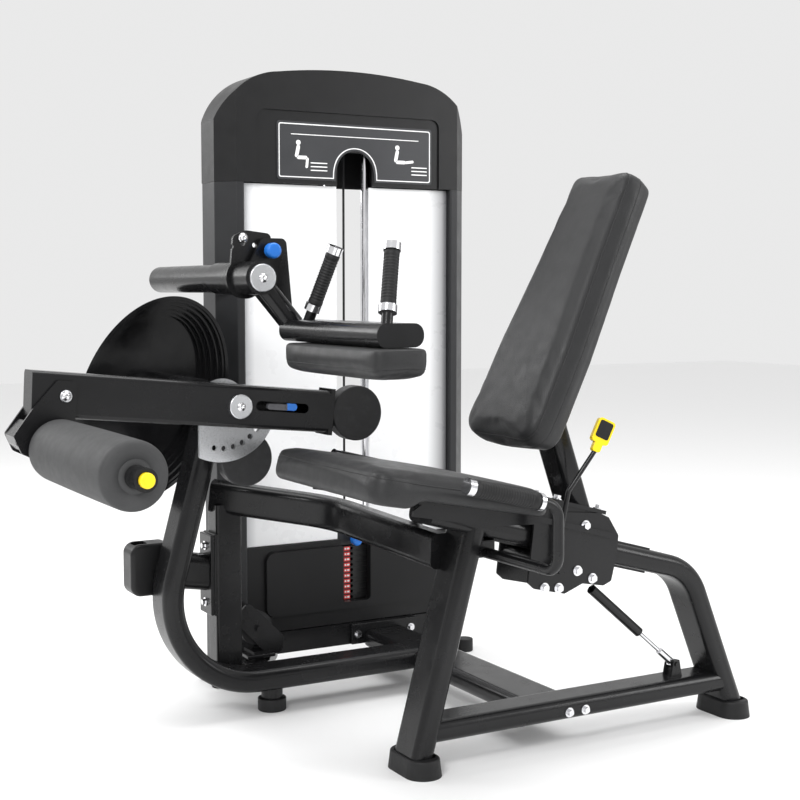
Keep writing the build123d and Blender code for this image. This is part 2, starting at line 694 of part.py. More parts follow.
def make_leg_arm():
    """Arm tube with its slanted nose, index slot and tail flange."""
    half = ARM_TALL / 2
    with BuildPart() as arm:
        with BuildSketch(arm_plane(ARM_Y + ARM_THICK)):
            with BuildLine():
                Polyline((-ARM_LEFT, half), (ARM_RIGHT, half), (ARM_RIGHT, -half),
                         (-ARM_LEFT + ARM_BEVEL, -half), close=True)
            make_face()
        extrude(amount=ARM_THICK)
        fillet(arm.edges().filter_by(Axis(arm_plane(0).origin, arm_plane(0).x_dir)), 9.0)
        with BuildSketch(arm_plane(ARM_Y + ARM_THICK - TUBE_WALL)):
            with BuildLine():
                Polyline((-ARM_LEFT + 14, half - 4), (ARM_RIGHT - 4, half - 4),
                         (ARM_RIGHT - 4, -half + 4), (-ARM_LEFT + ARM_BEVEL + 4, -half + 4), close=True)
            make_face()
        extrude(amount=ARM_THICK - 2 * TUBE_WALL, mode=Mode.SUBTRACT)
        with BuildSketch(arm_plane(ARM_Y + 10)):
            with Locations((96, 4)):
                SlotOverall(120, 20)
        extrude(amount=20.0, mode=Mode.SUBTRACT)
        with BuildSketch(arm_plane(ARM_Y + ARM_THICK)):
            with Locations((ARM_RIGHT + 4, 0)):
                Rectangle(10, ARM_TALL + 10)
        extrude(amount=ARM_THICK)
        with BuildSketch(side_plane(ARM_Y + ARM_THICK)):
            with Locations((PIVOT_X, PIVOT_Z)):
                Circle(SHAFT_RADIUS + 8)
        extrude(amount=ARM_THICK)
        with BuildSketch(side_plane(ARM_Y + ARM_THICK + 1)):
            with Locations((PIVOT_X, PIVOT_Z)):
                Circle(SHAFT_RADIUS)
            with Locations((YOKE_BOLT_X, YOKE_BOLT_Z)):
                Circle(6.3)
        extrude(amount=ARM_THICK + 2, mode=Mode.SUBTRACT)
    save(arm.part, "leg_arm")


def make_pivot_shaft():
    save(round_bar(at(PIVOT_X, ARM_Y, PIVOT_Z), at(PIVOT_X, CAM_FRONT_Y + 60, PIVOT_Z), SHAFT_RADIUS),
         "pivot_shaft")


def turned_cap(x, y, z, radius, tall):
    """Brushed cap on a face at station y, with a hexagon socket."""
    face = Plane(origin=at(x, y, z), z_dir=(0, -1, 0))
    with BuildPart(face) as cap:
        Cylinder(radius, tall, align=(Align.CENTER, Align.CENTER, Align.MIN))
        fillet(cap.edges().group_by(Axis.Y)[0], 2.0)
        with BuildSketch(face.offset(tall)):
            RegularPolygon(0.26 * radius, 6)
        extrude(amount=-0.6 * tall, mode=Mode.SUBTRACT)
    return cap.part


def make_pivot_cap():
    """Caps over the shaft's end and over the yoke's bolt."""
    yoke_face = ARM_Y - YOKE_GAP - YOKE_PLATE
    save(group([turned_cap(PIVOT_X, ARM_Y, PIVOT_Z, 25.0, 9.0),
                turned_cap(YOKE_BOLT_X, yoke_face, YOKE_BOLT_Z, 12.0, 5.0)]), "pivot_cap")


def make_arm_counterweight():
    with BuildPart(Plane(origin=at(5, ARM_Y + 24, 709), z_dir=(0, -1, 0))) as disc:
        Cylinder(59.0, 34.0)
        fillet(disc.edges().filter_by(GeomType.CIRCLE), 3.0)
    neck = block((-49, ARM_Y + 27, 711), (18, 26, 56))
    save(joined([disc.part, neck]), "arm_counterweight")


def cam_oval(shrink):
    """Tilted ellipse, smaller than the cam's rim by shrink, for the sketch that is open."""
    with Locations((PIVOT_X - 40, PIVOT_Z - 10)):
        Ellipse(CAM_LONG - shrink, CAM_SHORT - shrink, rotation=90 - CAM_TILT)


def make_cam():
    """Dished oval cam: tapered outside, stepped inside, with a hub on the shaft."""
    back_y = CAM_FRONT_Y + CAM_DEPTH
    steps = (5.0, 18.0, 36.0, 54.0, 70.0, CAM_DEPTH - 6.0)
    with BuildPart() as cam:
        with BuildSketch(side_plane(CAM_FRONT_Y)):
            cam_oval(0.0)
        with BuildSketch(side_plane(back_y)):
            cam_oval(CAM_TAPER)
        loft()
        for depth in steps:
            with BuildSketch(side_plane(CAM_FRONT_Y)):
                cam_oval(CAM_TAPER * depth / CAM_DEPTH + 5.0)
            extrude(amount=-depth, mode=Mode.SUBTRACT)
        with BuildSketch(side_plane(back_y)):
            with Locations((PIVOT_X, PIVOT_Z)):
                Circle(46)
        extrude(amount=70.0)
        with BuildSketch(side_plane(back_y - 28)):
            with Locations((PIVOT_X, PIVOT_Z)):
                Circle(SHAFT_RADIUS)
        extrude(amount=60.0, mode=Mode.SUBTRACT)
    save(cam.part, "cam")


def make_sector_plate():
    """Index plate: lower sector of a disc with an arc slot and a row of index holes."""
    outer = 124.0
    with BuildPart() as plate:
        with BuildSketch(side_plane(SECTOR_Y + 8)) as face:
            with Locations((PIVOT_X, PIVOT_Z)):
                Circle(outer)
                Circle(52.0, mode=Mode.ADD)
            with Locations((PIVOT_X, PIVOT_Z + 90)):
                Rectangle(300, 200, mode=Mode.SUBTRACT)
            with Locations((PIVOT_X - 90, PIVOT_Z)):
                Rectangle(74, 300, mode=Mode.SUBTRACT)
            fillet(face.vertices(), 6.0)
            with Locations((PIVOT_X, PIVOT_Z)):
                Circle(52.0)
            for turn in range(-102, -20, 13):
                reach = 95.0
                spot = (PIVOT_X + reach * cos(radians(turn)), PIVOT_Z + reach * sin(radians(turn)))
                with Locations(spot):
                    Circle(6.0, mode=Mode.SUBTRACT)
        extrude(amount=8.0)
        with BuildSketch(side_plane(SECTOR_Y + 9)):
            with Locations((PIVOT_X, PIVOT_Z)):
                SlotArc(CenterArc((0, 0), 70.0, -100, 60), 9.0)
        extrude(amount=10.0, mode=Mode.SUBTRACT)
        with BuildSketch(side_plane(SECTOR_Y + 9)):
            with Locations((PIVOT_X, PIVOT_Z)):
                Circle(SHAFT_RADIUS)
        extrude(amount=10.0, mode=Mode.SUBTRACT)
    save(plate.part, "sector_plate")


def make_cam_counterweight():
    """Second counterweight: a disc on a web clamped to the shaft."""
    spot_x = PIVOT_X + 92
    spot_z = PIVOT_Z - 132
    with BuildPart() as piece:
        with BuildSketch(side_plane(452)):
            with Locations((spot_x, spot_z)):
                Circle(60)
        extrude(amount=34)
        fillet(piece.edges().filter_by(GeomType.CIRCLE), 3.0)
        with BuildSketch(side_plane(430)):
            with BuildLine():
                Polyline((PIVOT_X - 30, PIVOT_Z - 16), (PIVOT_X + 26, PIVOT_Z + 20),
                         (spot_x + 24, spot_z + 18), (spot_x - 24, spot_z - 14), close=True)
            make_face()
            with Locations((PIVOT_X, PIVOT_Z)):
                Circle(38)
        extrude(amount=10)
        with BuildSketch(side_plane(456)):
            with Locations((PIVOT_X, PIVOT_Z)):
                Circle(SHAFT_RADIUS)
        extrude(amount=60, mode=Mode.SUBTRACT)
    save(piece.part, "cam_counterweight")


def make_arm_lever():
    """Flat pull lever in the arm's slot, with its tab."""
    with BuildPart() as lever:
        with BuildSketch(arm_plane(ARM_Y + 2)):
            with Locations((92, 4)):
                SlotOverall(66, 12)
        extrude(amount=9)
        with BuildSketch(arm_plane(ARM_Y - 4)):
            with Locations((112, 6)):
                SlotOverall(26, 14)
        extrude(amount=5)
    save(lever.part, "arm_lever")


def yoke_side(y):
    """Side plate of the yoke on station y, from the arm's nose down to the axle."""
    outline = [(-646, 801), (-608, 797), (-612, 738), (-618, 660), (-640, 638), (-668, 640),
               (-717, 664), (-732, 698), (-693, 750)]
    return flat_plate(side_plane(y), outline, YOKE_PLATE, 9.0)


def make_roller_yoke():
    """Channel-shaped yoke astride the arm's nose, with the roller's axle and its end collar."""
    near = ARM_Y - YOKE_GAP
    far = ARM_Y + ARM_THICK + YOKE_GAP
    outer = -ROLLER_HALF - 3 - COLLAR_LENGTH
    web_face = [(-705, 726), (-731, 697), (-725, 680), (-716, 669), (-709, 674), (-718, 689), (-698, 718)]
    with BuildPart() as yoke:
        add(yoke_side(near))
        add(yoke_side(far + YOKE_PLATE))
        add(flat_plate(side_plane(far + 1), web_face, far - near + 2, 1.0))
        add(round_bar(at(YOKE_BOLT_X, near - 1, YOKE_BOLT_Z), at(YOKE_BOLT_X, far + 1, YOKE_BOLT_Z), 6.0))
        add(round_bar(at(ROLLER_X, ROLLER_HALF + 1, ROLLER_Z), at(ROLLER_X, near, ROLLER_Z), 24.0))
        add(round_bar(at(ROLLER_X, outer + CUP_DEEP, ROLLER_Z), at(ROLLER_X, near, ROLLER_Z), AXLE_RADIUS))
        add(round_bar(at(ROLLER_X, outer, ROLLER_Z), at(ROLLER_X, -ROLLER_HALF - 3, ROLLER_Z), 20.0))
        add(round_bar(at(ROLLER_X, outer - 1, ROLLER_Z), at(ROLLER_X, outer + CUP_DEEP, ROLLER_Z), 13.4),
            mode=Mode.SUBTRACT)
        deep = outer + CUP_DEEP + 24
        stem = round_bar(at(ROLLER_X, outer - 1, ROLLER_Z), at(ROLLER_X, deep, ROLLER_Z), 4.06)
        add(stem, mode=Mode.SUBTRACT)
    save(yoke.part, "roller_yoke")


def make_foam_roller():
    with BuildPart(Plane(origin=at(ROLLER_X, 0, ROLLER_Z), z_dir=(0, -1, 0))) as roller:
        Cylinder(ROLLER_RADIUS, 2 * ROLLER_HALF)
        fillet(roller.edges().filter_by(GeomType.CIRCLE), 6.0)
        Cylinder(AXLE_RADIUS + RUN_FIT, 2 * ROLLER_HALF, mode=Mode.SUBTRACT)
    save(roller.part, "foam_roller")


def make_roller_button():
    """Release button in the collar's cup, with its stem down the axle."""
    base = -ROLLER_HALF - 3 - COLLAR_LENGTH + 6
    with BuildPart(Plane(origin=at(ROLLER_X, base, ROLLER_Z), z_dir=(0, -1, 0))) as button:
        Cylinder(13.0, 16.0, align=(Align.CENTER, Align.CENTER, Align.MIN))
        fillet(button.edges().group_by(Axis.Y)[0], 3.0)
    stem = round_bar(at(ROLLER_X, base - 1, ROLLER_Z), at(ROLLER_X, base + 24, ROLLER_Z), 4.0)
    save(joined([button.part, stem]), "roller_button")


# ---------------------------------------------------------------- thigh clamp
def make_thigh_tube():
    """Fixed tube of the thigh clamp, with its brace to the tower's left side."""
    tube = round_bar(at(CLAMP_X, 262, CLAMP_Z), at(CLAMP_X, TOWER_Y + 22, CLAMP_Z), CLAMP_TUBE_RADIUS, 18.0)
    sleeve = round_bar(at(CLAMP_X, 262, CLAMP_Z), at(CLAMP_X, 398, CLAMP_Z), 34.0, 18.0)
    spindle = round_bar(at(CLAMP_X, 184, CLAMP_Z), at(CLAMP_X, TOWER_Y + 14, CLAMP_Z), 19.0)
    brace = block((-160, TOWER_Y + 11, CLAMP_Z), (166, 16, 56), 3.0)
    save(joined([tube, sleeve, spindle, brace]), "thigh_tube")


def make_thigh_sector():
    """Fixed index sector of the thigh clamp, on the sleeve's end."""
    with BuildPart() as sector:
        with BuildSketch(side_plane(272)) as face:
            with BuildLine():
                Polyline((CLAMP_X - 34, CLAMP_Z + 4), (CLAMP_X - 26, CLAMP_Z + 86),
                         (CLAMP_X + 2, CLAMP_Z + 98), (CLAMP_X + 56, CLAMP_Z + 92),
                         (CLAMP_X + 66, CLAMP_Z + 40),
                         (CLAMP_X + 30, CLAMP_Z + 4), close=True)
            make_face()
            fillet(face.vertices(), 11.0)
            with Locations((CLAMP_X, CLAMP_Z)):
                Circle(42.0)
            for turn in (THIGH_PIN_ANGLE, THIGH_PIN_ANGLE + 21, THIGH_PIN_ANGLE + 42, THIGH_PIN_ANGLE + 63):
                across = THIGH_PIN_REACH * cos(radians(turn))
                rise = THIGH_PIN_REACH * sin(radians(turn))
                with Locations((CLAMP_X + across, CLAMP_Z + rise)):
                    Circle(5.0, mode=Mode.SUBTRACT)
            with Locations((CLAMP_X, CLAMP_Z)):
                Circle(34.0 + RUN_FIT, mode=Mode.SUBTRACT)
        extrude(amount=8)
    save(sector.part, "thigh_sector")


def make_thigh_arm():
    """Hub on the spindle, the sloping arm and the plate that carries the pull pin."""
    foot = at(CARRIER_X - 20, 214, CARRIER_Z + 12)
    arm = tube_body([at(CLAMP_X + 8, 214, CLAMP_Z - 8), foot], 50.0, 42.0, 16.0, 0.0, (0, 1, 0))
    with BuildPart() as whole:
        with BuildSketch(side_plane(260)):
            with Locations((CLAMP_X, CLAMP_Z)):
                Circle(34.0)
        extrude(amount=78)
        add(arm)
        with BuildSketch(side_plane(254)) as face:
            with BuildLine():
                Polyline((CLAMP_X - 4, CLAMP_Z + 18), (CLAMP_X + 30, CLAMP_Z + 82),
                         (CLAMP_X + 84, CLAMP_Z + 82), (CLAMP_X + 98, CLAMP_Z - 70),
                         (CLAMP_X + 56, CLAMP_Z - 62), close=True)
            make_face()
            fillet(face.vertices(), 13.0)
        extrude(amount=8)
        with BuildSketch(side_plane(262)):
            with Locations((CLAMP_X, CLAMP_Z)):
                Circle(19.0 + RUN_FIT)
            with Locations((CLAMP_X + THIGH_PIN_REACH * cos(radians(THIGH_PIN_ANGLE)),
                            CLAMP_Z + THIGH_PIN_REACH * sin(radians(THIGH_PIN_ANGLE)))):
                Circle(5.0)
        extrude(amount=100, mode=Mode.SUBTRACT)
    save(whole.part, "thigh_arm")


def make_thigh_cap():
    save(turned_cap(CLAMP_X, 181.6, CLAMP_Z, 28.0, 9.0), "thigh_cap")


def make_thigh_pin():
    """Spring pin with its round knob, square to the arm's plate."""
    x = CLAMP_X + THIGH_PIN_REACH * cos(radians(THIGH_PIN_ANGLE))
    z = CLAMP_Z + THIGH_PIN_REACH * sin(radians(THIGH_PIN_ANGLE))
    shank = round_bar(at(x, 222, z), at(x, 263.6, z), 4.9)
    with BuildPart(Plane(origin=at(x, 224, z), z_dir=(0, -1, 0))) as knob:
        Cylinder(16.0, 24.0)
        fillet(knob.edges().filter_by(GeomType.CIRCLE), 6.0)
    save(joined([shank, knob.part]), "thigh_pin")


def make_thigh_carrier():
    """Cross beam over the pad, with the two grips' stems welded on."""
    start = at(CARRIER_X, -CARRIER_HALF, CARRIER_Z)
    end = at(CARRIER_X, CARRIER_HALF + 14, CARRIER_Z)
    beam = oval_tube([start, end], 98.0, 44.0, 20.0, level=(1, 0, 0))
    stems = [round_bar(*grip_line(side, -0.04, 0.26), 11.0) for side in (-1, 1)]
    save(joined([beam, *stems]), "thigh_carrier")


def make_thigh_pad():
    centre = (THIGH_PAD_X, THIGH_PAD_Y, THIGH_PAD_LOW + THIGH_PAD_THICK / 2)
    with BuildPart(Plane(origin=at(*centre))) as pad:
        Box(THIGH_PAD_WIDTH, THIGH_PAD_LENGTH, THIGH_PAD_THICK)
        fillet(pad.edges().filter_by(Axis.Z), 18.0)
        fillet(pad.edges().group_by(Axis.Z)[0], 14.0)
    save(pad.part, "thigh_pad")


def grip_line(side, low, high):
    """Two stations on an upright grip's axis, at fractions low and high of its rise."""
    ends = []
    for part_way in (low, high):
        x = CARRIER_X - 8 + GRIP_LEAN_X * part_way
        y = side * (164 - GRIP_LEAN_Y * part_way)
        ends.append(at(x, y, CARRIER_Z + 18 + GRIP_RISE * part_way))
    return ends


def make_thigh_grips():
    grips = [round_bar(*grip_line(side, 0.262, 0.985), 15.0) for side in (-1, 1)]
    save(group(grips), "thigh_grips")
    collars = []
    for side in (-1, 1):
        collars.append(round_bar(*grip_line(side, 0.16, 0.258), 17.5, 11.0))
        collars.append(round_bar(*grip_line(side, 0.988, 1.09), 16.5))
    save(group(collars), "thigh_collars")


# ---------------------------------------------------------------- seat
def seat_plane(y):
    """Upright plane with its sketch x back along the seat's top from the knee end, and y square to it."""
    lean = radians(SEAT_TILT)
    return Plane(origin=at(SEAT_FRONT_X, y, SEAT_FRONT_Z), x_dir=(cos(lean), 0, -sin(lean)),
                 z_dir=(0, -1, 0))


def make_seat_pad():
    half = SEAT_WIDTH / 2
    with BuildPart() as pad:
        with BuildSketch(seat_plane(half)):
            with BuildLine():
                Polyline((0, 0), (SEAT_LENGTH, 0), (SEAT_LENGTH, -SEAT_THICK), (90, -SEAT_THICK),
                         (70, -SEAT_THICK - 18), (0, -SEAT_THICK - 18), close=True)
            make_face()
        extrude(amount=SEAT_WIDTH)
        fillet(pad.edges().filter_by(Axis.Y).group_by(Axis.X)[0], 30.0)
        fillet(pad.edges().group_by(Axis.X)[-1].filter_by(Axis.Y).sort_by(Axis.Z)[-1:], 14.0)
    save(pad.part, "seat_pad")


def make_seat_pan():
    """Pan under the pad with turned-down sides and the two blocks that sit on the rail."""
    half = SEAT_WIDTH / 2 - 22
    low = -SEAT_THICK - 0.4
    with BuildPart() as pan:
        with BuildSketch(seat_plane(half)):
            with Locations((242, low - PAN_THICK / 2)):
                Rectangle(276, PAN_THICK)
        extrude(amount=2 * half)
        for y in (half, -half + 4):
            with BuildSketch(seat_plane(y)):
                with BuildLine():
                    Polyline((94, low - 20), (116, low), (380, low), (380, low - 14), (270, low - 30),
                             (94, low - 30), close=True)
                make_face()
            extrude(amount=4.0)
    blocks = []
    for x in (60.0, 140.0):
        top = SEAT_FRONT_Z - tan(radians(SEAT_TILT)) * (x - SEAT_FRONT_X) - SEAT_THICK - 6
        low_z = rail_z(x) + TUBE_DEEP / 2
        blocks.append(block((x, 0, (top + low_z) / 2 - 1), (40, 80, top - low_z + 6)))
    save(joined([pan.part, *blocks]), "seat_pan")


def handle_route(side):
    """Route of a side handle from under the rail, outwards, up, and forward along the seat."""
    drop = tan(radians(14.0))
    top = 566.0
    return [at(HANDLE_X - 14, side * 30, 440), at(HANDLE_X, side * HANDLE_Y, 438),
            at(HANDLE_X - 2, side * HANDLE_Y, top), at(-30, side * HANDLE_Y, top + drop * (HANDLE_X + 28))]


def make_seat_handles():
    handles = [bent_bar(handle_route(side), 11.0, 34.0) for side in (-1, 1)]
    cross = block((HANDLE_X - 14, 0, 448), (44, 78, 36), 4.0)
    save(joined([*handles, cross]), "seat_handles")


def handle_span(side, start, end):
    """Two points on a side handle's forward run, at distances back from its tip."""
    route = handle_route(side)
    return toward(route[3], route[2], start), toward(route[3], route[2], end)


def make_handle_grips():
    grips = [round_bar(*handle_span(side, 0.3, 148), 16.0, 11.0) for side in (-1, 1)]
    save(group(grips), "handle_grips")
    collars = []
    for side in (-1, 1):
        collars.append(round_bar(*handle_span(side, 148.3, 158), 17.0, 11.0))
        collars.append(round_bar(*handle_span(side, -14, 0), 16.5))
    save(group(collars), "handle_collars")


# ---------------------------------------------------------------- back
def back_plane():
    """Plane on the back pad's front face: sketch x across the seat, sketch y up the back."""
    lean = radians(BACK_TILT)
    return Plane(origin=at(BACK_X, 0, BACK_Z), x_dir=(0, 1, 0), z_dir=(cos(lean), 0, -sin(lean)))


def make_back_pad():
    """Back pad: waisted outline, widest low down, with rounded corners."""
    top = BACK_TOP_WIDTH / 2
    low = BACK_LOW_WIDTH / 2
    with BuildPart() as pad:
        with BuildSketch(back_plane()) as face:
            with BuildLine():
                Polyline((low, 70), (low, 0), (-low, 0), (-low, 70))
                for side in (-1, 1):
                    Spline((side * low, 70), (side * (low - 3), 0.34 * BACK_LENGTH),
                           (side * (top + 14), 0.66 * BACK_LENGTH), (side * top, BACK_LENGTH))
                Line((-top, BACK_LENGTH), (top, BACK_LENGTH))
            make_face()
            fillet(face.vertices().group_by(Axis.Y)[0], 46.0)
            fillet(face.vertices().group_by(Axis.Y)[-1], 26.0)
        extrude(amount=BACK_THICK)
        fillet(pad.faces().sort_by(Axis.X)[0].edges(), 12.0)
    save(pad.part, "back_pad")


def make_back_carriage():
    """Side plates, top plate, rollers and the post that holds the back."""
    plates = []
    outline = [(238, 372), (254, 358), (330, 340), (376, 357), (431, 347), (452, 355), (467, 413),
               (470, 452), (444, 492), (421, 503), (330, 512), (256, 526)]
    for y in (-54.0, 60.0):
        plates.append(flat_plate(side_plane(y), outline, 6.0, 5.0))
    with BuildPart() as deck:
        with BuildSketch(rail_plane(66)):
            with Locations((30, TUBE_DEEP / 2 + STRIP_THICK + 9)):
                Rectangle(206, 12)
        extrude(amount=132.0)
    with BuildPart() as saddle:
        with BuildSketch(rail_plane(60)):
            with Locations((8, 81)):
                Rectangle(192, 8)
        extrude(amount=120.0)
        for y in (54, -42):
            with BuildSketch(rail_plane(y)):
                with Locations((8, 66)):
                    Rectangle(176, 24)
            extrude(amount=12.0)
    rollers = []
    for s, h in ((-40, -46.5), (60, -46.5)):
        spot = rail_plane(0).from_local_coords((s, h, 0))
        near = (spot.X, spot.Y - 56, spot.Z)
        far = (spot.X, spot.Y + 56, spot.Z)
        rollers.append(round_bar(near, far, 17.0))
    save(joined([*plates, deck.part, saddle.part, *rollers, back_post()]), "back_carriage")


def back_post():
    """Bent post from the carriage up behind the pad."""
    route = [at(406, 0, 474), at(324, 0, 705), at(432, 0, 924)]
    return oval_tube(route, 82.0, 46.0, 17.0, bend=70.0)


def make_back_lever():
    """Release rod beside the carriage with its paddle."""
    rod = bent_bar([at(305, -78, 395), at(306, -78, 470), at(320, -84, 560), at(382, -97, 648)], 5.0, 16.0)
    hub = round_bar(at(305, -60.5, 399), at(305, -86, 399), 11.0)
    lean = radians(63.0)
    face = Plane(origin=at(396, -97, 680), x_dir=(cos(lean), 0, sin(lean)),
                 z_dir=(-0.28 * sin(lean), -0.96, 0.28 * cos(lean)))
    with BuildPart() as paddle:
        with BuildSketch(face):
            RectangleRounded(52.0, 38.0, 7.0)
            with Locations((-32.0, 0)):
                RectangleRounded(26.0, 18.0, 5.0)
        extrude(amount=7.0, both=True)
        add(rod, mode=Mode.SUBTRACT)
    save(joined([rod, hub]), "back_lever")
    save(paddle.part, "lever_paddle")


def gas_point(from_low):
    """Point on the gas spring's axis at a distance up from its lower eye."""
    low = at(GAS_LOW_X, 0, GAS_LOW_Z)
    high = at(GAS_HIGH_X, 0, GAS_HIGH_Z)
    return toward(low, high, from_low)


def make_gas_spring():
    eye = round_bar(at(GAS_LOW_X, -7, GAS_LOW_Z), at(GAS_LOW_X, 7, GAS_LOW_Z), 11.0)
    rod = round_bar(gas_point(6), gas_point(240), 4.5)
    ferrule = round_bar(gas_point(8), gas_point(52), 8.0)
    hole = round_bar(at(GAS_LOW_X, -9, GAS_LOW_Z), at(GAS_LOW_X, 9, GAS_LOW_Z), 5.0 + RUN_FIT)
    with BuildPart() as low:
        add(joined([eye, rod, ferrule]))
        add(hole, mode=Mode.SUBTRACT)
    save(low.part, "gas_rod")
    save(round_bar(gas_point(128), gas_point(300), 11.0, 4.5 + RUN_FIT), "gas_cylinder")


# ---------------------------------------------------------------- fasteners
def make_frame_bolts():
    """Bolt heads, with washers, that hold the frame members together."""
    near = (0, -1, 0)
    heads = []
    for x in (356, 398):
        heads.append(bolt(at(x, -45.2, FLOOR_TUBE_Z), near))
    for x in (LINK_X - 78, LINK_X + 78):
        heads.append(bolt(at(x, TOWER_Y - 4.2, BASE_LOW + 26), near))
    for z in (384, 252):
        heads.append(bolt(at(POST_X - 49.7, POST_Y, z), (-1, 0, 0)))
    save(group(heads), "frame_bolts")


def make_carriage_bolts():
    heads = []
    for x, z in ((382, 480), (362, 386), (401, 366), (278, 358), (314, 354)):
        heads.append(bolt(at(x, -60.2, z), (0, -1, 0), 8.0, 11.0))
    lean = radians(RAIL_TILT)
    up = (sin(lean), 0, cos(lean))
    for s, y in ((-68, -44), (-18, -44), (93, -44), (-68, 44), (-18, 44), (93, 44)):
        spot = rail_plane(y).from_local_coords((s, 85.2, 0))
        heads.append(bolt(spot.to_tuple(), up, 8.0, 11.0))
    save(group(heads), "carriage_bolts")


make_front_leg()
make_seat_rail()
make_crossbar()
make_link_beam()
make_transverse_beam()
make_c_frame()
make_rubber_feet()
make_upright_post()
make_outrigger()
make_pulley_housing()
make_pivot_housing()
make_rear_tie()
make_tie_pulley()
make_tower_sides()
make_tower_base()
make_tower_hood()
make_hood_panel()
make_shroud_panels()
make_lower_cover()
make_rear_cover()
make_guide_rods()
make_stack()
make_selector_pin()
make_top_pulley()
make_top_carrier()
make_stack_cable()
make_leg_arm()
make_pivot_shaft()
make_pivot_cap()
make_arm_counterweight()
make_cam()
make_sector_plate()
make_cam_counterweight()
make_arm_lever()
make_roller_yoke()
make_foam_roller()
make_roller_button()
make_thigh_tube()
make_thigh_sector()
make_thigh_arm()
make_thigh_cap()
make_thigh_pin()
make_thigh_carrier()
make_thigh_pad()
make_thigh_grips()
make_seat_pad()
make_seat_pan()
make_seat_handles()
make_handle_grips()
make_back_pad()
make_back_carriage()
make_back_lever()
make_gas_spring()
make_frame_bolts()
make_carriage_bolts()
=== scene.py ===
"""Leg extension machine: finishes, upholstery, grips, trim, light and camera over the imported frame."""

import bmesh
import bpy
import json
import math
from mathutils import Matrix, Vector
from mathutils.bvhtree import BVHTree
from mathutils.kdtree import KDTree


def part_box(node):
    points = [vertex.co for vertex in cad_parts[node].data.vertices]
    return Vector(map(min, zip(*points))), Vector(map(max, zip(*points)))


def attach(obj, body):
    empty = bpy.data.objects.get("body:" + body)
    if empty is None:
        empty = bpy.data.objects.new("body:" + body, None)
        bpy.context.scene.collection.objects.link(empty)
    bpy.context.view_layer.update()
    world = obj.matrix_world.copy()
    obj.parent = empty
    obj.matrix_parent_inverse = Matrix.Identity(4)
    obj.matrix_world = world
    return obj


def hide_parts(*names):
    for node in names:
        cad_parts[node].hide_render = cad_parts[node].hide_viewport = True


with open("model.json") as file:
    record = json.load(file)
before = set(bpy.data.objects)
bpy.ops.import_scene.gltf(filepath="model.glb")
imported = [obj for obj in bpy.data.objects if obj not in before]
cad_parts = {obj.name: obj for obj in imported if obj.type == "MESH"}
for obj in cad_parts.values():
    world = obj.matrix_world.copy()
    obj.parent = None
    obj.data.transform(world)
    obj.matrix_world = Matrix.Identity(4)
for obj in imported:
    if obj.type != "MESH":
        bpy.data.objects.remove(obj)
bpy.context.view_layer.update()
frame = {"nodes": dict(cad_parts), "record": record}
nodes = frame["nodes"]
scene = bpy.context.scene

# ------------------------------------------------------------------ camera, floor and light
CAMERA_PLACE = (-1.4651, -2.7045, 0.972)
CAMERA_RIGHT = (0.8704, -0.4924, 0.0)
CAMERA_UP = (0.0383, 0.0677, 0.9970)
CAMERA_LENS = 63.45


def make_camera():
    data = bpy.data.cameras.new("camera")
    data.lens = CAMERA_LENS
    data.sensor_width = 36.0
    data.clip_end = 60.0
    right = Vector(CAMERA_RIGHT).normalized()
    back = right.cross(Vector(CAMERA_UP)).normalized()
    up = back.cross(right)
    turn = Matrix((right, up, back)).transposed().to_4x4()
    camera = bpy.data.objects.new("camera", data)
    camera.matrix_world = Matrix.Translation(CAMERA_PLACE) @ turn
    scene.collection.objects.link(camera)
    scene.camera = camera


def area_light(name, place, aim, width, height, power):
    data = bpy.data.lights.new(name, "AREA")
    data.shape = "RECTANGLE"
    data.size = width
    data.size_y = height
    data.energy = power
    lamp = bpy.data.objects.new(name, data)
    lamp.location = place
    lamp.rotation_euler = (Vector(aim) - Vector(place)).to_track_quat("-Z", "Y").to_euler()
    scene.collection.objects.link(lamp)


def make_studio():
    world = bpy.data.worlds.new("studio")
    world.use_nodes = True
    shade = world.node_tree.nodes["Background"]
    shade.inputs["Color"].default_value = (1.0, 1.0, 1.0, 1.0)
    shade.inputs["Strength"].default_value = 0.82
    scene.world = world
    middle = (0.0, 0.0, 0.7)
    area_light("key", (-3.4, -3.2, 3.6), middle, 1.6, 1.4, 150)
    area_light("fill", (3.6, -3.0, 2.2), middle, 1.2, 2.4, 60)
    area_light("top", (0.2, 0.4, 4.4), middle, 3.4, 2.6, 110)
    area_light("rim", (-2.6, 3.4, 2.6), middle, 2.0, 2.4, 70)
    mesh = bpy.data.meshes.new("floor")
    reach = 12.0
    mesh.from_pydata([(-reach, -reach, 0), (reach, -reach, 0), (reach, reach, 0), (-reach, reach, 0)], [],
                     [(0, 1, 2, 3)])
    floor = bpy.data.objects.new("floor", mesh)
    scene.collection.objects.link(floor)
    mat = bpy.data.materials.new("floor_pale")
    mat.use_nodes = True
    shader = mat.node_tree.nodes["Principled BSDF"]
    shader.inputs["Base Color"].default_value = (0.93, 0.93, 0.93, 1)
    shader.inputs["Roughness"].default_value = 0.75
    floor.data.materials.append(mat)
    scene.view_settings.view_transform = "Standard"


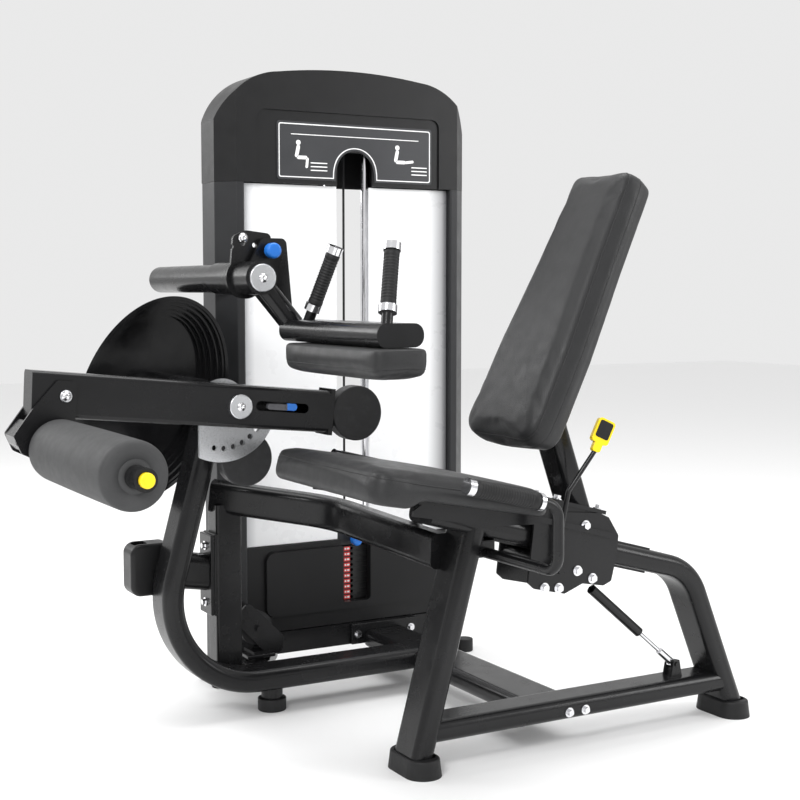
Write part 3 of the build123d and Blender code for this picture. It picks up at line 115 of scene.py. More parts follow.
# ------------------------------------------------------------------ material tools
class Finish:
    """A material under construction: one Principled shader and the textures that feed it."""

    def __init__(self, name, base, rough, metal=0.0, specular=0.5):
        self.mat = bpy.data.materials.new(name)
        self.mat.use_nodes = True
        self.tree = self.mat.node_tree
        self.shader = self.tree.nodes["Principled BSDF"]
        self.base = base
        self.rough = rough
        self.last_bump = None
        self.set("Base Color", (*base, 1))
        self.set("Roughness", rough)
        self.set("Metallic", metal)
        self.set("Specular IOR Level", specular)

    def set(self, socket, value):
        self.shader.inputs[socket].default_value = value
        return self

    def node(self, kind, **values):
        made = self.tree.nodes.new(kind)
        for key, value in values.items():
            setattr(made, key, value)
        return made

    def link(self, a, b):
        self.tree.links.new(a, b)

    def place(self, scale=(1, 1, 1)):
        coord = self.node("ShaderNodeTexCoord")
        mapping = self.node("ShaderNodeMapping")
        mapping.inputs["Scale"].default_value = scale
        self.link(coord.outputs["Object"], mapping.inputs["Vector"])
        return mapping.outputs["Vector"]

    def noise(self, scale, detail=3.0, stretch=(1, 1, 1), rough=0.55):
        tex = self.node("ShaderNodeTexNoise")
        tex.inputs["Scale"].default_value = scale
        tex.inputs["Detail"].default_value = detail
        tex.inputs["Roughness"].default_value = rough
        self.link(self.place(stretch), tex.inputs["Vector"])
        return tex.outputs["Fac"]

    def cells(self, scale, stretch=(1, 1, 1)):
        tex = self.node("ShaderNodeTexVoronoi", feature="SMOOTH_F1")
        tex.inputs["Scale"].default_value = scale
        tex.inputs["Smoothness"].default_value = 0.35
        self.link(self.place(stretch), tex.inputs["Vector"])
        return tex.outputs["Distance"]

    def spread(self, value, low, high, to_low, to_high):
        rng = self.node("ShaderNodeMapRange")
        rng.inputs["From Min"].default_value = low
        rng.inputs["From Max"].default_value = high
        rng.inputs["To Min"].default_value = to_low
        rng.inputs["To Max"].default_value = to_high
        self.link(value, rng.inputs["Value"])
        return rng.outputs["Result"]

    def tint(self, value, other, low=0.35, high=0.65):
        """Base colour moves from base to other as value goes from low to high."""
        mix = self.node("ShaderNodeMix", data_type="RGBA")
        if self.shader.inputs["Base Color"].links:
            self.link(self.shader.inputs["Base Color"].links[0].from_socket, mix.inputs["A"])
        else:
            mix.inputs["A"].default_value = (*self.base, 1)
        mix.inputs["B"].default_value = (*other, 1)
        self.link(self.spread(value, low, high, 0.0, 1.0), mix.inputs["Factor"])
        self.link(mix.outputs["Result"], self.shader.inputs["Base Color"])
        return self

    def gloss(self, value, swing, low=0.3, high=0.7):
        """Roughness swings about its own value."""
        self.link(self.spread(value, low, high, self.rough - swing, self.rough + swing),
                  self.shader.inputs["Roughness"])
        return self

    def relief(self, value, depth, strength=1.0):
        """Raised grain of that depth in metres."""
        bump = self.node("ShaderNodeBump")
        bump.inputs["Distance"].default_value = depth
        bump.inputs["Strength"].default_value = strength
        self.link(value, bump.inputs["Height"])
        if self.last_bump:
            self.link(self.last_bump, bump.inputs["Normal"])
        self.last_bump = bump.outputs["Normal"]
        self.link(self.last_bump, self.shader.inputs["Normal"])
        return self


def powder(name, base, rough, lift, specular=0.4):
    """Powder coat: orange peel, slight clouding and rubbed patches."""
    coat = Finish(name, base, rough, specular=specular)
    lighter = tuple(min(1.0, c * lift + 0.0006) for c in base)
    coat.tint(coat.noise(5.0, 4.0), lighter)
    coat.gloss(coat.noise(24.0, 5.0), 0.06)
    coat.relief(coat.noise(620.0, 2.0), 0.00025, 0.35)
    coat.relief(coat.noise(45.0, 1.0), 0.0004, 0.04)
    return coat.mat


def moulded(name, base, rough, grain=1400.0, depth=0.0002, specular=0.4):
    """Moulded plastic with a fine spark-eroded grain."""
    skin = Finish(name, base, rough, specular=specular)
    skin.tint(skin.noise(7.0, 3.0), tuple(min(1.0, c * 1.2 + 0.0003) for c in base))
    skin.gloss(skin.noise(30.0, 4.0), 0.05)
    skin.relief(skin.noise(grain, 2.0), depth, 0.4)
    return skin.mat


def polished(name, base, rough):
    """Chrome plate with faint smears."""
    plate = Finish(name, base, rough, metal=1.0)
    plate.tint(plate.noise(40.0, 4.0), tuple(c * 0.9 for c in base))
    plate.gloss(plate.noise(90.0, 5.0, (1, 1, 0.3)), 0.05)
    plate.relief(plate.noise(900.0, 2.0), 0.0001, 0.1)
    return plate.mat


def brushed(name, base, rough):
    """Brushed metal: fine lines across the face."""
    plate = Finish(name, base, rough, metal=1.0)
    lines = plate.noise(260.0, 4.0, (1, 1, 14))
    plate.tint(lines, tuple(c * 0.78 for c in base), 0.3, 0.7)
    plate.gloss(lines, 0.09)
    plate.relief(lines, 0.00012, 0.35)
    return plate.mat


def leather(name, base, rough):
    """Synthetic leather: pebbled grain, soft creasing and worn, slightly paler patches."""
    hide = Finish(name, base, rough, specular=0.32)
    hide.set("Sheen Weight", 0.04)
    hide.set("Sheen Roughness", 0.5)
    hide.tint(hide.noise(4.0, 4.0), tuple(c * 1.25 + 0.0008 for c in base), 0.3, 0.75)
    hide.tint(hide.cells(520.0), tuple(c * 0.72 for c in base), 0.5, 0.95)
    hide.gloss(hide.noise(36.0, 5.0), 0.07)
    hide.relief(hide.cells(520.0), 0.00045, 0.55)
    hide.relief(hide.noise(140.0, 5.0), 0.0005, 0.16)
    hide.relief(hide.noise(9.0, 3.0), 0.003, 0.10)
    return hide.mat


def foam_skin(name, base, rough):
    """Matt foam sleeve with closed-cell pores."""
    skin = Finish(name, base, rough, specular=0.3)
    skin.tint(skin.noise(14.0, 4.0), tuple(c * 1.18 for c in base))
    skin.tint(skin.cells(900.0), tuple(c * 0.8 for c in base), 0.55, 0.95)
    skin.gloss(skin.noise(60.0, 3.0), 0.04)
    skin.relief(skin.cells(900.0), 0.0003, 0.5)
    skin.relief(skin.noise(30.0, 3.0), 0.001, 0.08)
    return skin.mat


def rubber(name, base, rough):
    """Matt rubber with dust in its texture."""
    skin = Finish(name, base, rough, specular=0.35)
    skin.tint(skin.noise(18.0, 5.0), tuple(c * 1.7 + 0.0006 for c in base), 0.45, 0.8)
    skin.gloss(skin.noise(50.0, 3.0), 0.06)
    skin.relief(skin.noise(700.0, 3.0), 0.0003, 0.5)
    return skin.mat


def iron(name, base, rough):
    """Painted cast plate: rolling grain, small rubbed spots."""
    cast = Finish(name, base, rough)
    cast.tint(cast.noise(60.0, 6.0), tuple(c * 1.7 for c in base), 0.5, 0.8)
    cast.gloss(cast.noise(80.0, 5.0), 0.08)
    cast.relief(cast.noise(420.0, 5.0), 0.0003, 0.4)
    return cast.mat


def frosted(name, base, rough, low, high):
    """Frosted sheet with painted shade: a little darker towards both upright edges, where the posts would
    show through; the sheet itself lets no light through.
    """
    sheet = Finish(name, base, rough)
    coord = sheet.node("ShaderNodeTexCoord")
    parts = sheet.node("ShaderNodeSeparateXYZ")
    sheet.link(coord.outputs["Object"], parts.inputs["Vector"])
    # Painted shade: a dark ramp towards the high X edge and a grey ramp towards the low X edge.
    sheet.tint(parts.outputs["X"], (0.10, 0.10, 0.11), high - 0.060, high + 0.004)
    sheet.tint(parts.outputs["X"], (0.50, 0.51, 0.53), low + 0.030, low - 0.002)
    sheet.gloss(sheet.noise(20.0, 3.0), 0.05)
    sheet.relief(sheet.noise(800.0, 2.0), 0.0002, 0.3)
    sheet.set("Transmission Weight", 0.0)
    return sheet.mat


def make_finishes():
    panel_low, panel_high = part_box("shroud_panels")
    done = {
        "frame_black": powder("frame_black", (0.0065, 0.0065, 0.007), 0.24, 1.35, 0.30),
        "tower_grey": powder("tower_grey", (0.020, 0.0205, 0.022), 0.34, 1.2, 0.30),
        "hood_plastic": moulded("hood_plastic", (0.0075, 0.0075, 0.008), 0.36, specular=0.28),
        "cam_gloss": moulded("cam_gloss", (0.006, 0.006, 0.0065), 0.15, 500.0, 0.0001, 0.35),
        "counterweight": iron("counterweight", (0.016, 0.016, 0.017), 0.50),
        "frosted_panel": frosted("frosted_panel", (0.90, 0.905, 0.915), 0.30, panel_low.x, panel_high.x),
        "plate_iron": iron("plate_iron", (0.010, 0.010, 0.0105), 0.42),
        "chrome": polished("chrome", (0.80, 0.80, 0.82), 0.12),
        "brushed_metal": brushed("brushed_metal", (0.72, 0.73, 0.75), 0.30),
        "grip_rubber": rubber("grip_rubber", (0.0065, 0.0065, 0.007), 0.55),
        "upholstery": leather("upholstery", (0.016, 0.0162, 0.017), 0.46),
        "roller_foam": foam_skin("roller_foam", (0.042, 0.0425, 0.0435), 0.66),
        "yellow_plastic": moulded("yellow_plastic", (0.80, 0.58, 0.01), 0.34),
        "blue_plastic": moulded("blue_plastic", (0.015, 0.15, 0.55), 0.24),
        "pulley_nylon": moulded("pulley_nylon", (0.010, 0.010, 0.011), 0.42),
        "cable_black": rubber("cable_black", (0.008, 0.008, 0.009), 0.42),
        "gas_black": powder("gas_black", (0.006, 0.006, 0.0065), 0.20, 1.3, 0.35),
    }
    return done


finishes = make_finishes()
slot_of = {part["node"]: part["material_slot"] for part in frame["record"]["subparts"]}


def dress_nodes():
    """Each CAD node gets the finish of its slot."""
    for name, obj in nodes.items():
        obj.data.materials.clear()
        obj.data.materials.append(finishes[slot_of[name]])


def dress_piece(obj, slot, body, finish=None):
    """A new piece takes its finish, the slot's unless one is given, and rides on its body."""
    obj.data.materials.clear()
    obj.data.materials.append(finish or finishes[slot])
    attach(obj, body)
    return obj


# ------------------------------------------------------------------ mesh tools
def new_object(name, mesh, smooth=True):
    obj = bpy.data.objects.new(name, mesh)
    scene.collection.objects.link(obj)
    if smooth:
        mesh.polygons.foreach_set("use_smooth", [True] * len(mesh.polygons))
    return obj


def evaluated(obj):
    """The object's mesh with its modifiers applied, as a new mesh."""
    graph = bpy.context.evaluated_depsgraph_get()
    graph.update()
    return bpy.data.meshes.new_from_object(obj.evaluated_get(graph))


def lathe(name, start, end, profile, turns=64):
    """Turned solid on the axis from start to end: profile is pairs of distance along it and radius."""
    start = Vector(start)
    axis = (Vector(end) - start).normalized()
    side = axis.orthogonal().normalized()
    other = axis.cross(side)
    verts = []
    faces = []
    for along, radius in profile:
        for k in range(turns):
            angle = 2 * math.pi * k / turns
            verts.append(start + axis * along + (side * math.cos(angle) + other * math.sin(angle)) * radius)
    for row in range(len(profile) - 1):
        for k in range(turns):
            a = row * turns + k
            b = row * turns + (k + 1) % turns
            faces.append((a, b, b + turns, a + turns))
    faces.append(tuple(reversed(range(turns))))
    faces.append(tuple(range((len(profile) - 1) * turns, len(profile) * turns)))
    mesh = bpy.data.meshes.new(name)
    mesh.from_pydata(verts, [], faces)
    obj = new_object(name, mesh)
    return obj


def flat_shape(name, outline, holes, origin, across, up, thick, round_off=0.0):
    """Flat plate: a closed outline, less closed holes, on a plane, grown thick along its normal."""
    curve = bpy.data.curves.new(name, "CURVE")
    curve.dimensions = "2D"
    curve.fill_mode = "BOTH"
    curve.extrude = thick / 2
    curve.bevel_depth = round_off
    curve.bevel_resolution = 2
    for ring in [outline] + holes:
        line = curve.splines.new("POLY")
        line.points.add(len(ring) - 1)
        for point, (x, y) in zip(line.points, ring):
            point.co = (x, y, 0, 1)
        line.use_cyclic_u = True
    temp = bpy.data.objects.new(name, curve)
    scene.collection.objects.link(temp)
    mesh = evaluated(temp)
    bpy.data.objects.remove(temp)
    normal = Vector(across).cross(Vector(up)).normalized()
    turn = Matrix((Vector(across), Vector(up), normal)).transposed().to_4x4()
    mesh.transform(Matrix.Translation(Vector(origin) + normal * thick / 2) @ turn)
    return new_object(name, mesh, smooth=False)


def rounded_ring(width, height, corner, cx=0.0, cy=0.0, steps=8):
    """Points round a rectangle with round corners."""
    ring = []
    for sx, sy, start in ((1, 1, 0), (-1, 1, 90), (-1, -1, 180), (1, -1, 270)):
        mx = cx + sx * (width / 2 - corner)
        my = cy + sy * (height / 2 - corner)
        for k in range(steps + 1):
            angle = math.radians(start + 90 * k / steps)
            ring.append((mx + corner * math.cos(angle), my + corner * math.sin(angle)))
    return ring


def joined(name, pieces):
    """Several pieces made into one object."""
    mesh = bpy.data.meshes.new(name)
    work = bmesh.new()
    for piece in pieces:
        work.from_mesh(piece.data)
        bpy.data.objects.remove(piece)
    work.to_mesh(mesh)
    work.free()
    return new_object(name, mesh, smooth=False)


# ------------------------------------------------------------------ upholstery
def rounded_polygon(corners, radii, steps=8):
    """Points round a polygon, each corner turned on its own radius."""
    ring = []
    count = len(corners)
    for k, (corner, radius) in enumerate(zip(corners, radii)):
        here = Vector(corner)
        before = (Vector(corners[k - 1]) - here).normalized()
        after = (Vector(corners[(k + 1) % count]) - here).normalized()
        if radius == 0:
            ring.append((here.x, here.y))
            continue
        half = before.angle(after) / 2
        middle = here + (before + after).normalized() * (radius / math.sin(half))
        first = here + before * (radius / math.tan(half)) - middle
        last = here + after * (radius / math.tan(half)) - middle
        sweep = first.angle_signed(last)
        for n in range(steps + 1):
            angle = -sweep * n / steps
            c = math.cos(angle)
            q = math.sin(angle)
            ring.append((middle.x + first.x * c - first.y * q, middle.y + first.x * q + first.y * c))
    return ring


def resample(ring, spacing):
    """The closed ring's points at an even spacing."""
    points = [Vector(point) for point in ring]
    out = []
    for a, b in zip(points, points[1:] + points[:1]):
        parts = max(1, int((b - a).length / spacing))
        out += [a.lerp(b, n / parts) for n in range(parts)]
    return out


def inset_ring(points, inset):
    """The ring moved in by inset, towards its inside."""
    count = len(points)
    area = sum(points[k - 1].cross(points[k]) for k in range(count))
    side = 1 if area > 0 else -1
    out = []
    for k in range(count):
        run = (points[(k + 1) % count] - points[k - 1]).normalized()
        out.append(points[k] + Vector((-run.y, run.x)) * inset * side)
    return out


def pad_form(name, place, outline, levels, voxel):
    """Even-gridded pad from its plan and its section: levels are pairs of height and inset."""
    points = resample(outline, 0.012)
    count = len(points)
    verts = []
    faces = []
    for height, inset in levels:
        verts += [place.world(q.x, q.y, height) for q in inset_ring(points, inset)]
    for row in range(len(levels) - 1):
        for k in range(count):
            a = row * count + k
            b = row * count + (k + 1) % count
            faces.append((a, b, b + count, a + count))
    faces.append(tuple(reversed(range(count))))
    faces.append(tuple(range((len(levels) - 1) * count, len(levels) * count)))
    mesh = bpy.data.meshes.new(name)
    mesh.from_pydata(verts, [], faces)
    work = bmesh.new()
    work.from_mesh(mesh)
    bmesh.ops.recalc_face_normals(work, faces=work.faces)
    work.to_mesh(mesh)
    work.free()
    temp = new_object(name + "_form", mesh)
    remesh = temp.modifiers.new("grid", "REMESH")
    remesh.mode = "VOXEL"
    remesh.voxel_size = voxel
    even = evaluated(temp)
    bpy.data.objects.remove(temp)
    return even


def inflate(obj, held, cap):
    """Blows the cover up with a cloth simulation, holding the points where held(point) is true."""
    rest = [v.co.copy() for v in obj.data.vertices]
    group = obj.vertex_groups.new(name="held")
    group.add([i for i, p in enumerate(rest) if held(p)], 1.0, "REPLACE")
    cloth = obj.modifiers.new("cover", "CLOTH")
    cloth.settings.quality = 5
    cloth.settings.mass = 0.4
    cloth.settings.tension_stiffness = 25
    cloth.settings.compression_stiffness = 25
    cloth.settings.bending_stiffness = 4
    cloth.settings.use_pressure = True
    cloth.settings.uniform_pressure_force = 4
    cloth.settings.effector_weights.gravity = 0
    cloth.settings.vertex_group_mass = "held"
    cloth.point_cache.frame_start = 1
    cloth.point_cache.frame_end = 20
    for step in range(1, 21):
        scene.frame_set(step)
    blown = evaluated(obj)
    moved = [v.co.copy() for v in blown.vertices]
    bpy.data.meshes.remove(blown)
    obj.modifiers.remove(cloth)
    scene.frame_set(1)
    for vert, a, b in zip(obj.data.vertices, rest, moved):
        shift = b - a
        if shift.length > cap:
            shift = shift.normalized() * cap
        vert.co = a + shift


def relax(obj, rounds, factor=0.5):
    """Evens the surface out."""
    work = bmesh.new()
    work.from_mesh(obj.data)
    for _ in range(rounds):
        bmesh.ops.smooth_vert(work, verts=work.verts, factor=factor, use_axis_x=True, use_axis_y=True,
                              use_axis_z=True)
    work.to_mesh(obj.data)
    work.free()


def make_pad(name, form, shape, held, cap):
    """Upholstered pad: its form shaped, blown up as cloth and evened out."""
    obj = new_object(name, form)
    for vert in obj.data.vertices:
        vert.co = shape(vert.co)
    relax(obj, 1)
    inflate(obj, held, cap)
    relax(obj, 8)
    return obj


def finish_pad(obj, node, body):
    """One subdivision, smooth shading, the upholstery finish, its body, and the CAD node it replaces hidden.
    """
    divide = obj.modifiers.new("fine", "SUBSURF")
    divide.levels = 1
    divide.render_levels = 1
    obj.data.polygons.foreach_set("use_smooth", [True] * len(obj.data.polygons))
    dress_piece(obj, "upholstery", body)
    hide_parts(node)
    return obj


def sew(obj, points, depth, width=0.0075):
    """Sinks a sewn channel along a closed line of points, in along the surface's normals."""
    line = KDTree(len(points))
    for k, point in enumerate(points):
        line.insert(point, k)
    line.balance()
    normals = [v.normal.copy() for v in obj.data.vertices]
    for vert, normal in zip(obj.data.vertices, normals):
        gap = line.find(vert.co)[2]
        if gap < width:
            vert.co -= normal * depth * (0.5 + 0.5 * math.cos(math.pi * gap / width))


def seam_cord(name, obj, points, radius, body, closed=True):
    """Stitched piping that follows points, each moved on to the pad's surface."""
    tree = BVHTree.FromPolygons([v.co for v in obj.data.vertices],
                                [tuple(p.vertices) for p in obj.data.polygons])
    curve = bpy.data.curves.new(name, "CURVE")
    curve.dimensions = "3D"
    curve.bevel_depth = radius
    curve.bevel_resolution = 3
    line = curve.splines.new("POLY")
    line.points.add(len(points) - 1)
    for knot, point in zip(line.points, points):
        place, normal, _, _ = tree.find_nearest(Vector(point))
        knot.co = (*(place + normal * radius * 0.15), 1)
    line.use_cyclic_u = closed
    temp = bpy.data.objects.new(name, curve)
    scene.collection.objects.link(temp)
    mesh = evaluated(temp)
    bpy.data.objects.remove(temp)
    return dress_piece(new_object(name, mesh), "upholstery", body)


# ------------------------------------------------------------------ stations and pad frames
STATION_SHIFT = Vector((68.07, 288.5, 0.0))


def station(x, y, z):
    """A design station in millimetres, in the row frame."""
    return (Vector((x, y, z)) - STATION_SHIFT) / 1000


class PadFrame:
    """A pad's own directions: along its length, across it and out of its face, from one corner line."""

    def __init__(self, origin, along, outward):
        self.origin = station(*origin)
        self.along = Vector(along).normalized()
        self.outward = Vector(outward).normalized()

    def local(self, p):
        rel = p - self.origin
        return rel.dot(self.along), rel.y, rel.dot(self.outward)

    def world(self, s, y, u):
        place = self.origin + self.along * s + self.outward * u
        return Vector((place.x, self.origin.y + y, place.z))


def smooth_step(value, low, high):
    t = min(1.0, max(0.0, (value - low) / (high - low)))
    return t * t * (3 - 2 * t)


SEAT_LEAN = math.radians(10.6)
SEAT = PadFrame((-200, 0, 651.6), (math.cos(SEAT_LEAN), 0, -math.sin(SEAT_LEAN)),
                (math.sin(SEAT_LEAN), 0, math.cos(SEAT_LEAN)))
SEAT_LENGTH = 0.387
SEAT_HALF = 0.230
BACK_LEAN = math.radians(26.3)
BACK = PadFrame((187, 0, 673), (math.sin(BACK_LEAN), 0, math.cos(BACK_LEAN)),
                (-math.cos(BACK_LEAN), 0, math.sin(BACK_LEAN)))
BACK_LENGTH = 0.616
BACK_THICK = 0.080
BACK.origin -= BACK.outward * BACK_THICK
BACK_HALVES = ((0.0, 0.131), (0.070, 0.131), (0.209, 0.128), (0.407, 0.110), (0.616, 0.096))


def half_width(s):
    """The back pad's half width at a height along it."""
    for (s0, w0), (s1, w1) in zip(BACK_HALVES, BACK_HALVES[1:]):
        if s <= s1:
            return w0 + (w1 - w0) * max(0.0, s - s0) / (s1 - s0)
    return BACK_HALVES[-1][1]


def seat_shape(p):
    """Thins the seat behind its deep front, crowns its top and draws its sides in between the corners."""
    s, y, u = SEAT.local(p)
    thick = SEAT_DEEP + (SEAT_THIN - SEAT_DEEP) * smooth_step(s, 0.075, 0.105)
    u = u if u > -0.020 else -0.020 + (u + 0.020) * (thick - 0.020) / (SEAT_DEEP - 0.020)
    mid_s = max(0.0, 1 - ((s - SEAT_LENGTH / 2) / (SEAT_LENGTH / 2)) ** 2)
    mid_y = max(0.0, 1 - (y / SEAT_HALF) ** 2)
    u += smooth_step(u, -0.030, -0.004) * 0.006 * (mid_s * mid_y) ** 0.5
    return SEAT.world(s, y * (1 - 0.008 * mid_s), u)


def back_shape(p):
    """Crowns the back pad's face."""
    s, y, u = BACK.local(p)
    mid_y = max(0.0, 1 - (y / half_width(s)) ** 2)
    mid_s = max(0.0, 1 - ((s - BACK_LENGTH / 2) / (BACK_LENGTH / 2)) ** 4)
    face = smooth_step(u, BACK_THICK - 0.030, BACK_THICK - 0.004)
    u += face * 0.008 * (mid_y * mid_s) ** 0.5
    return BACK.world(s, y, u)


def thigh_shape(p):
    """Crowns the thigh pad's underside a little."""
    s, y, u = THIGH.local(p)
    mid_y = max(0.0, 1 - (y / THIGH_HALF) ** 2)
    u -= (1 - smooth_step(u, THIGH_THICK * 0.1, THIGH_THICK * 0.6)) * 0.003 * mid_y ** 0.5
    return THIGH.world(s, y, u)


SEAT_DEEP = 0.064
SEAT_THIN = 0.046
THIGH_LOW, THIGH_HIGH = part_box("thigh_pad")
THIGH_THICK = THIGH_HIGH.z - THIGH_LOW.z
THIGH = PadFrame((0, 0, 0), (1, 0, 0), (0, 0, 1))
THIGH.origin = Vector((THIGH_LOW.x, (THIGH_LOW.y + THIGH_HIGH.y) / 2, THIGH_LOW.z))
THIGH_HALF = 0.2
PAD_GRID = 0.004


def make_seat():
    outline = rounded_polygon(((0, -SEAT_HALF), (SEAT_LENGTH, -SEAT_HALF), (SEAT_LENGTH, SEAT_HALF),
                               (0, SEAT_HALF)), (0.034, 0.026, 0.026, 0.034))
    levels = ((-SEAT_DEEP, 0.012), (-0.060, 0.005), (-0.053, 0.001), (-0.045, 0.0), (-0.016, 0.0),
              (-0.010, 0.0015), (-0.005, 0.005), (-0.002, 0.010))
    form = pad_form("seat_cushion", SEAT, outline, levels, PAD_GRID)
    pad = make_pad("seat_cushion", form, seat_shape, lambda p: SEAT.local(p)[2] < -0.038, 0.005)
    rim = [SEAT.world(q.x, q.y, -0.013) for q in inset_ring(resample(outline, 0.008), 0.0005)]
    sew(pad, rim, 0.0016)
    finish_pad(pad, "seat_pad", "frame")
    seam_cord("seat_seam", pad, rim, 0.0011, "frame")


def make_back():
    left = [(s, -w) for s, w in BACK_HALVES]
    right = [(s, w) for s, w in reversed(BACK_HALVES)]
    radii = (0.046, 0, 0, 0, 0.026, 0.026, 0, 0, 0, 0.046)
    outline = rounded_polygon(left + right, radii)
    levels = ((0.0, 0.012), (0.004, 0.0085), (0.034, 0.001), (0.040, 0.0), (0.064, 0.002), (0.071, 0.0045),
              (0.076, 0.009), (0.079, 0.015))
    form = pad_form("back_cushion", BACK, outline, levels, PAD_GRID)
    pad = make_pad("back_cushion", form, back_shape, lambda p: BACK.local(p)[2] < 0.014, 0.005)
    fine = resample(outline, 0.008)
    face = [BACK.world(q.x, q.y, 0.068) for q in inset_ring(fine, 0.003)]
    waist = [BACK.world(q.x, q.y, 0.037) for q in fine]
    sew(pad, face, 0.0018)
    sew(pad, waist, 0.0008)
    finish_pad(pad, "back_pad", "back")
    seam_cord("back_seam", pad, face, 0.0012, "back")
    seam_cord("back_side_seam", pad, waist, 0.0008, "back")


def make_thigh():
    wide = THIGH_HIGH.x - THIGH_LOW.x
    half = (THIGH_HIGH.y - THIGH_LOW.y) / 2
    corners = ((0, -half), (wide, -half), (wide, half), (0, half))
    outline = rounded_polygon(corners, (0.020, 0.012, 0.012, 0.020))
    levels = ((0.0, 0.012), (0.004, 0.005), (0.010, 0.001), (0.018, 0.0), (THIGH_THICK - 0.004, 0.0),
              (THIGH_THICK - 0.0005, 0.003))
    form = pad_form("thigh_cushion", THIGH, outline, levels, PAD_GRID * 0.9)
    pad = make_pad("thigh_cushion", form, thigh_shape,
                   lambda p: THIGH.local(p)[2] > THIGH_THICK - 0.010, 0.004)
    rim = [THIGH.world(q.x, q.y, 0.013) for q in resample(outline, 0.008)]
    sew(pad, rim, 0.0012)
    finish_pad(pad, "thigh_pad", "thigh_clamp")
    seam_cord("thigh_seam", pad, rim, 0.0009, "thigh_clamp")


def make_pads():
    make_seat()
    make_back()
    make_thigh()


# ------------------------------------------------------------------ roller and grips
def sleeve(name, start, end, profile, turns=72):
    """Turned sleeve round an open bore: the profile is a closed ring of distance and radius."""
    start = Vector(start)
    axis = (Vector(end) - start).normalized()
    side = axis.orthogonal().normalized()
    other = axis.cross(side)
    verts = []
    faces = []
    for along, radius in profile:
        for k in range(turns):
            angle = 2 * math.pi * k / turns
            verts.append(start + axis * along + (side * math.cos(angle) + other * math.sin(angle)) * radius)
    rows = len(profile)
    for row in range(rows):
        for k in range(turns):
            a = row * turns + k
            b = row * turns + (k + 1) % turns
            c = ((row + 1) % rows) * turns
            faces.append((a, b, c + (k + 1) % turns, c + k))
    mesh = bpy.data.meshes.new(name)
    mesh.from_pydata(verts, [], faces)
    work = bmesh.new()
    work.from_mesh(mesh)
    bmesh.ops.recalc_face_normals(work, faces=work.faces)
    work.to_mesh(mesh)
    work.free()
    return new_object(name, mesh)


ROLLER_END = ((0.0010, 0.0126), (0.0, 0.0140), (0.0, 0.0270), (0.0012, 0.0283), (0.0014, 0.0292),
              (0.0012, 0.0301), (0.0, 0.0314), (0.0, 0.0420), (0.0008, 0.0470), (0.0022, 0.0530),
              (0.0048, 0.0572), (0.0090, 0.0592), (0.0150, 0.0598))


def make_roller():
    low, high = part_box("foam_roller")
    middle = (low + high) / 2
    length = high.y - low.y
    crown = [(length * k / 12, 0.0598 + 0.0007 * math.sin(math.pi * k / 12)) for k in range(1, 12)]
    profile = list(ROLLER_END) + crown + [(length - a, r) for a, r in reversed(ROLLER_END)]
    roller = sleeve("roller_sleeve", (middle.x, low.y, middle.z), (middle.x, high.y, middle.z), profile, 96)
    dress_piece(roller, "roller_foam", "roller")
    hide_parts("foam_roller")


def ribbed_profile(length, radius, bore, pitch, depth, flange):
    """A grip's section: a flange at each end and rounded ribs between them."""
    ring = [(0.0, bore), (0.0, flange - 0.0015), (0.0012, flange), (0.0045, flange), (0.0060, radius)]
    along = 0.0080
    while along < length - 0.0080 - pitch:
        ring += [(along, radius), (along + pitch * 0.2, radius), (along + pitch * 0.35, radius - depth),
                 (along + pitch * 0.75, radius - depth), (along + pitch * 0.9, radius)]
        along += pitch
    ring += [(length - 0.0060, radius), (length - 0.0015, radius), (length, radius - 0.0015), (length, bore)]
    return ring


GRIP_PITCH = 0.0060
GRIP_GROOVE = 0.0009
HANDLE_BORE = 0.0115
THIGH_BORE = 0.0115


def make_grips():
    handles = []
    for side in (-1, 1):
        a = station(-30, side * 268, 613.62)
        toward = (station(161, side * 268, 566) - a).normalized()
        start = a + toward * 0.0003
        end = a + toward * 0.148
        ring = ribbed_profile(0.1477, 0.0158, HANDLE_BORE, GRIP_PITCH, GRIP_GROOVE, 0.0160)
        handles.append(sleeve("grip", start, end, ring))
    grips = joined("handle_grip_sleeves", handles)
    grips.data.polygons.foreach_set("use_smooth", [True] * len(grips.data.polygons))
    dress_piece(grips, "grip_rubber", "frame")
    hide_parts("handle_grips")
    clamps = []
    for side in (-1, 1):
        first, last = (station(-151 + 36 * t, side * (164 - 44 * t), 908 + 138 * t) for t in (0.262, 0.985))
        ring = ribbed_profile((last - first).length, 0.0148, THIGH_BORE, GRIP_PITCH, GRIP_GROOVE, 0.0150)
        clamps.append(sleeve("grip", first, last, ring))
    thigh = joined("thigh_grip_sleeves", clamps)
    thigh.data.polygons.foreach_set("use_smooth", [True] * len(thigh.data.polygons))
    dress_piece(thigh, "grip_rubber", "thigh_clamp")
    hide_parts("thigh_grips")


# ------------------------------------------------------------------ placard, badge and labels
PLACARD_FRONT = 743.9
ARCH_MIDDLE = 261
ARCH_HALF = 55
ARCH_HIGH = 1318
MARK_LIFT = 1.5
MARK_THICK = 0.0003


def placard_ring(inset):
    """The placard's edge in station x and z, moved in by inset."""
    low_x, high_x, low_z, high_z = 46 + inset, 483 - inset, 1242 + inset, 1383 - inset
    corner = max(2.0, 8 - inset * 0.5)
    ring = []
    for cx, cz, start in ((high_x - corner, high_z - corner, 0), (low_x + corner, high_z - corner, 90),
                          (low_x + corner, low_z + corner, 180)):
        for k in range(7):
            angle = math.radians(start + 15 * k)
            ring.append((cx + corner * math.cos(angle), cz + corner * math.sin(angle)))
    half = ARCH_HALF + inset
    rise = ARCH_HIGH + inset - low_z
    for k in range(25):
        angle = math.pi - math.pi * k / 24
        ring.append((ARCH_MIDDLE + half * math.cos(angle), low_z + rise * math.sin(angle) ** 0.8))
    for k in range(7):
        angle = math.radians(270 + 15 * k)
        ring.append((high_x - corner + corner * math.cos(angle), low_z + corner + corner * math.sin(angle)))
    return ring


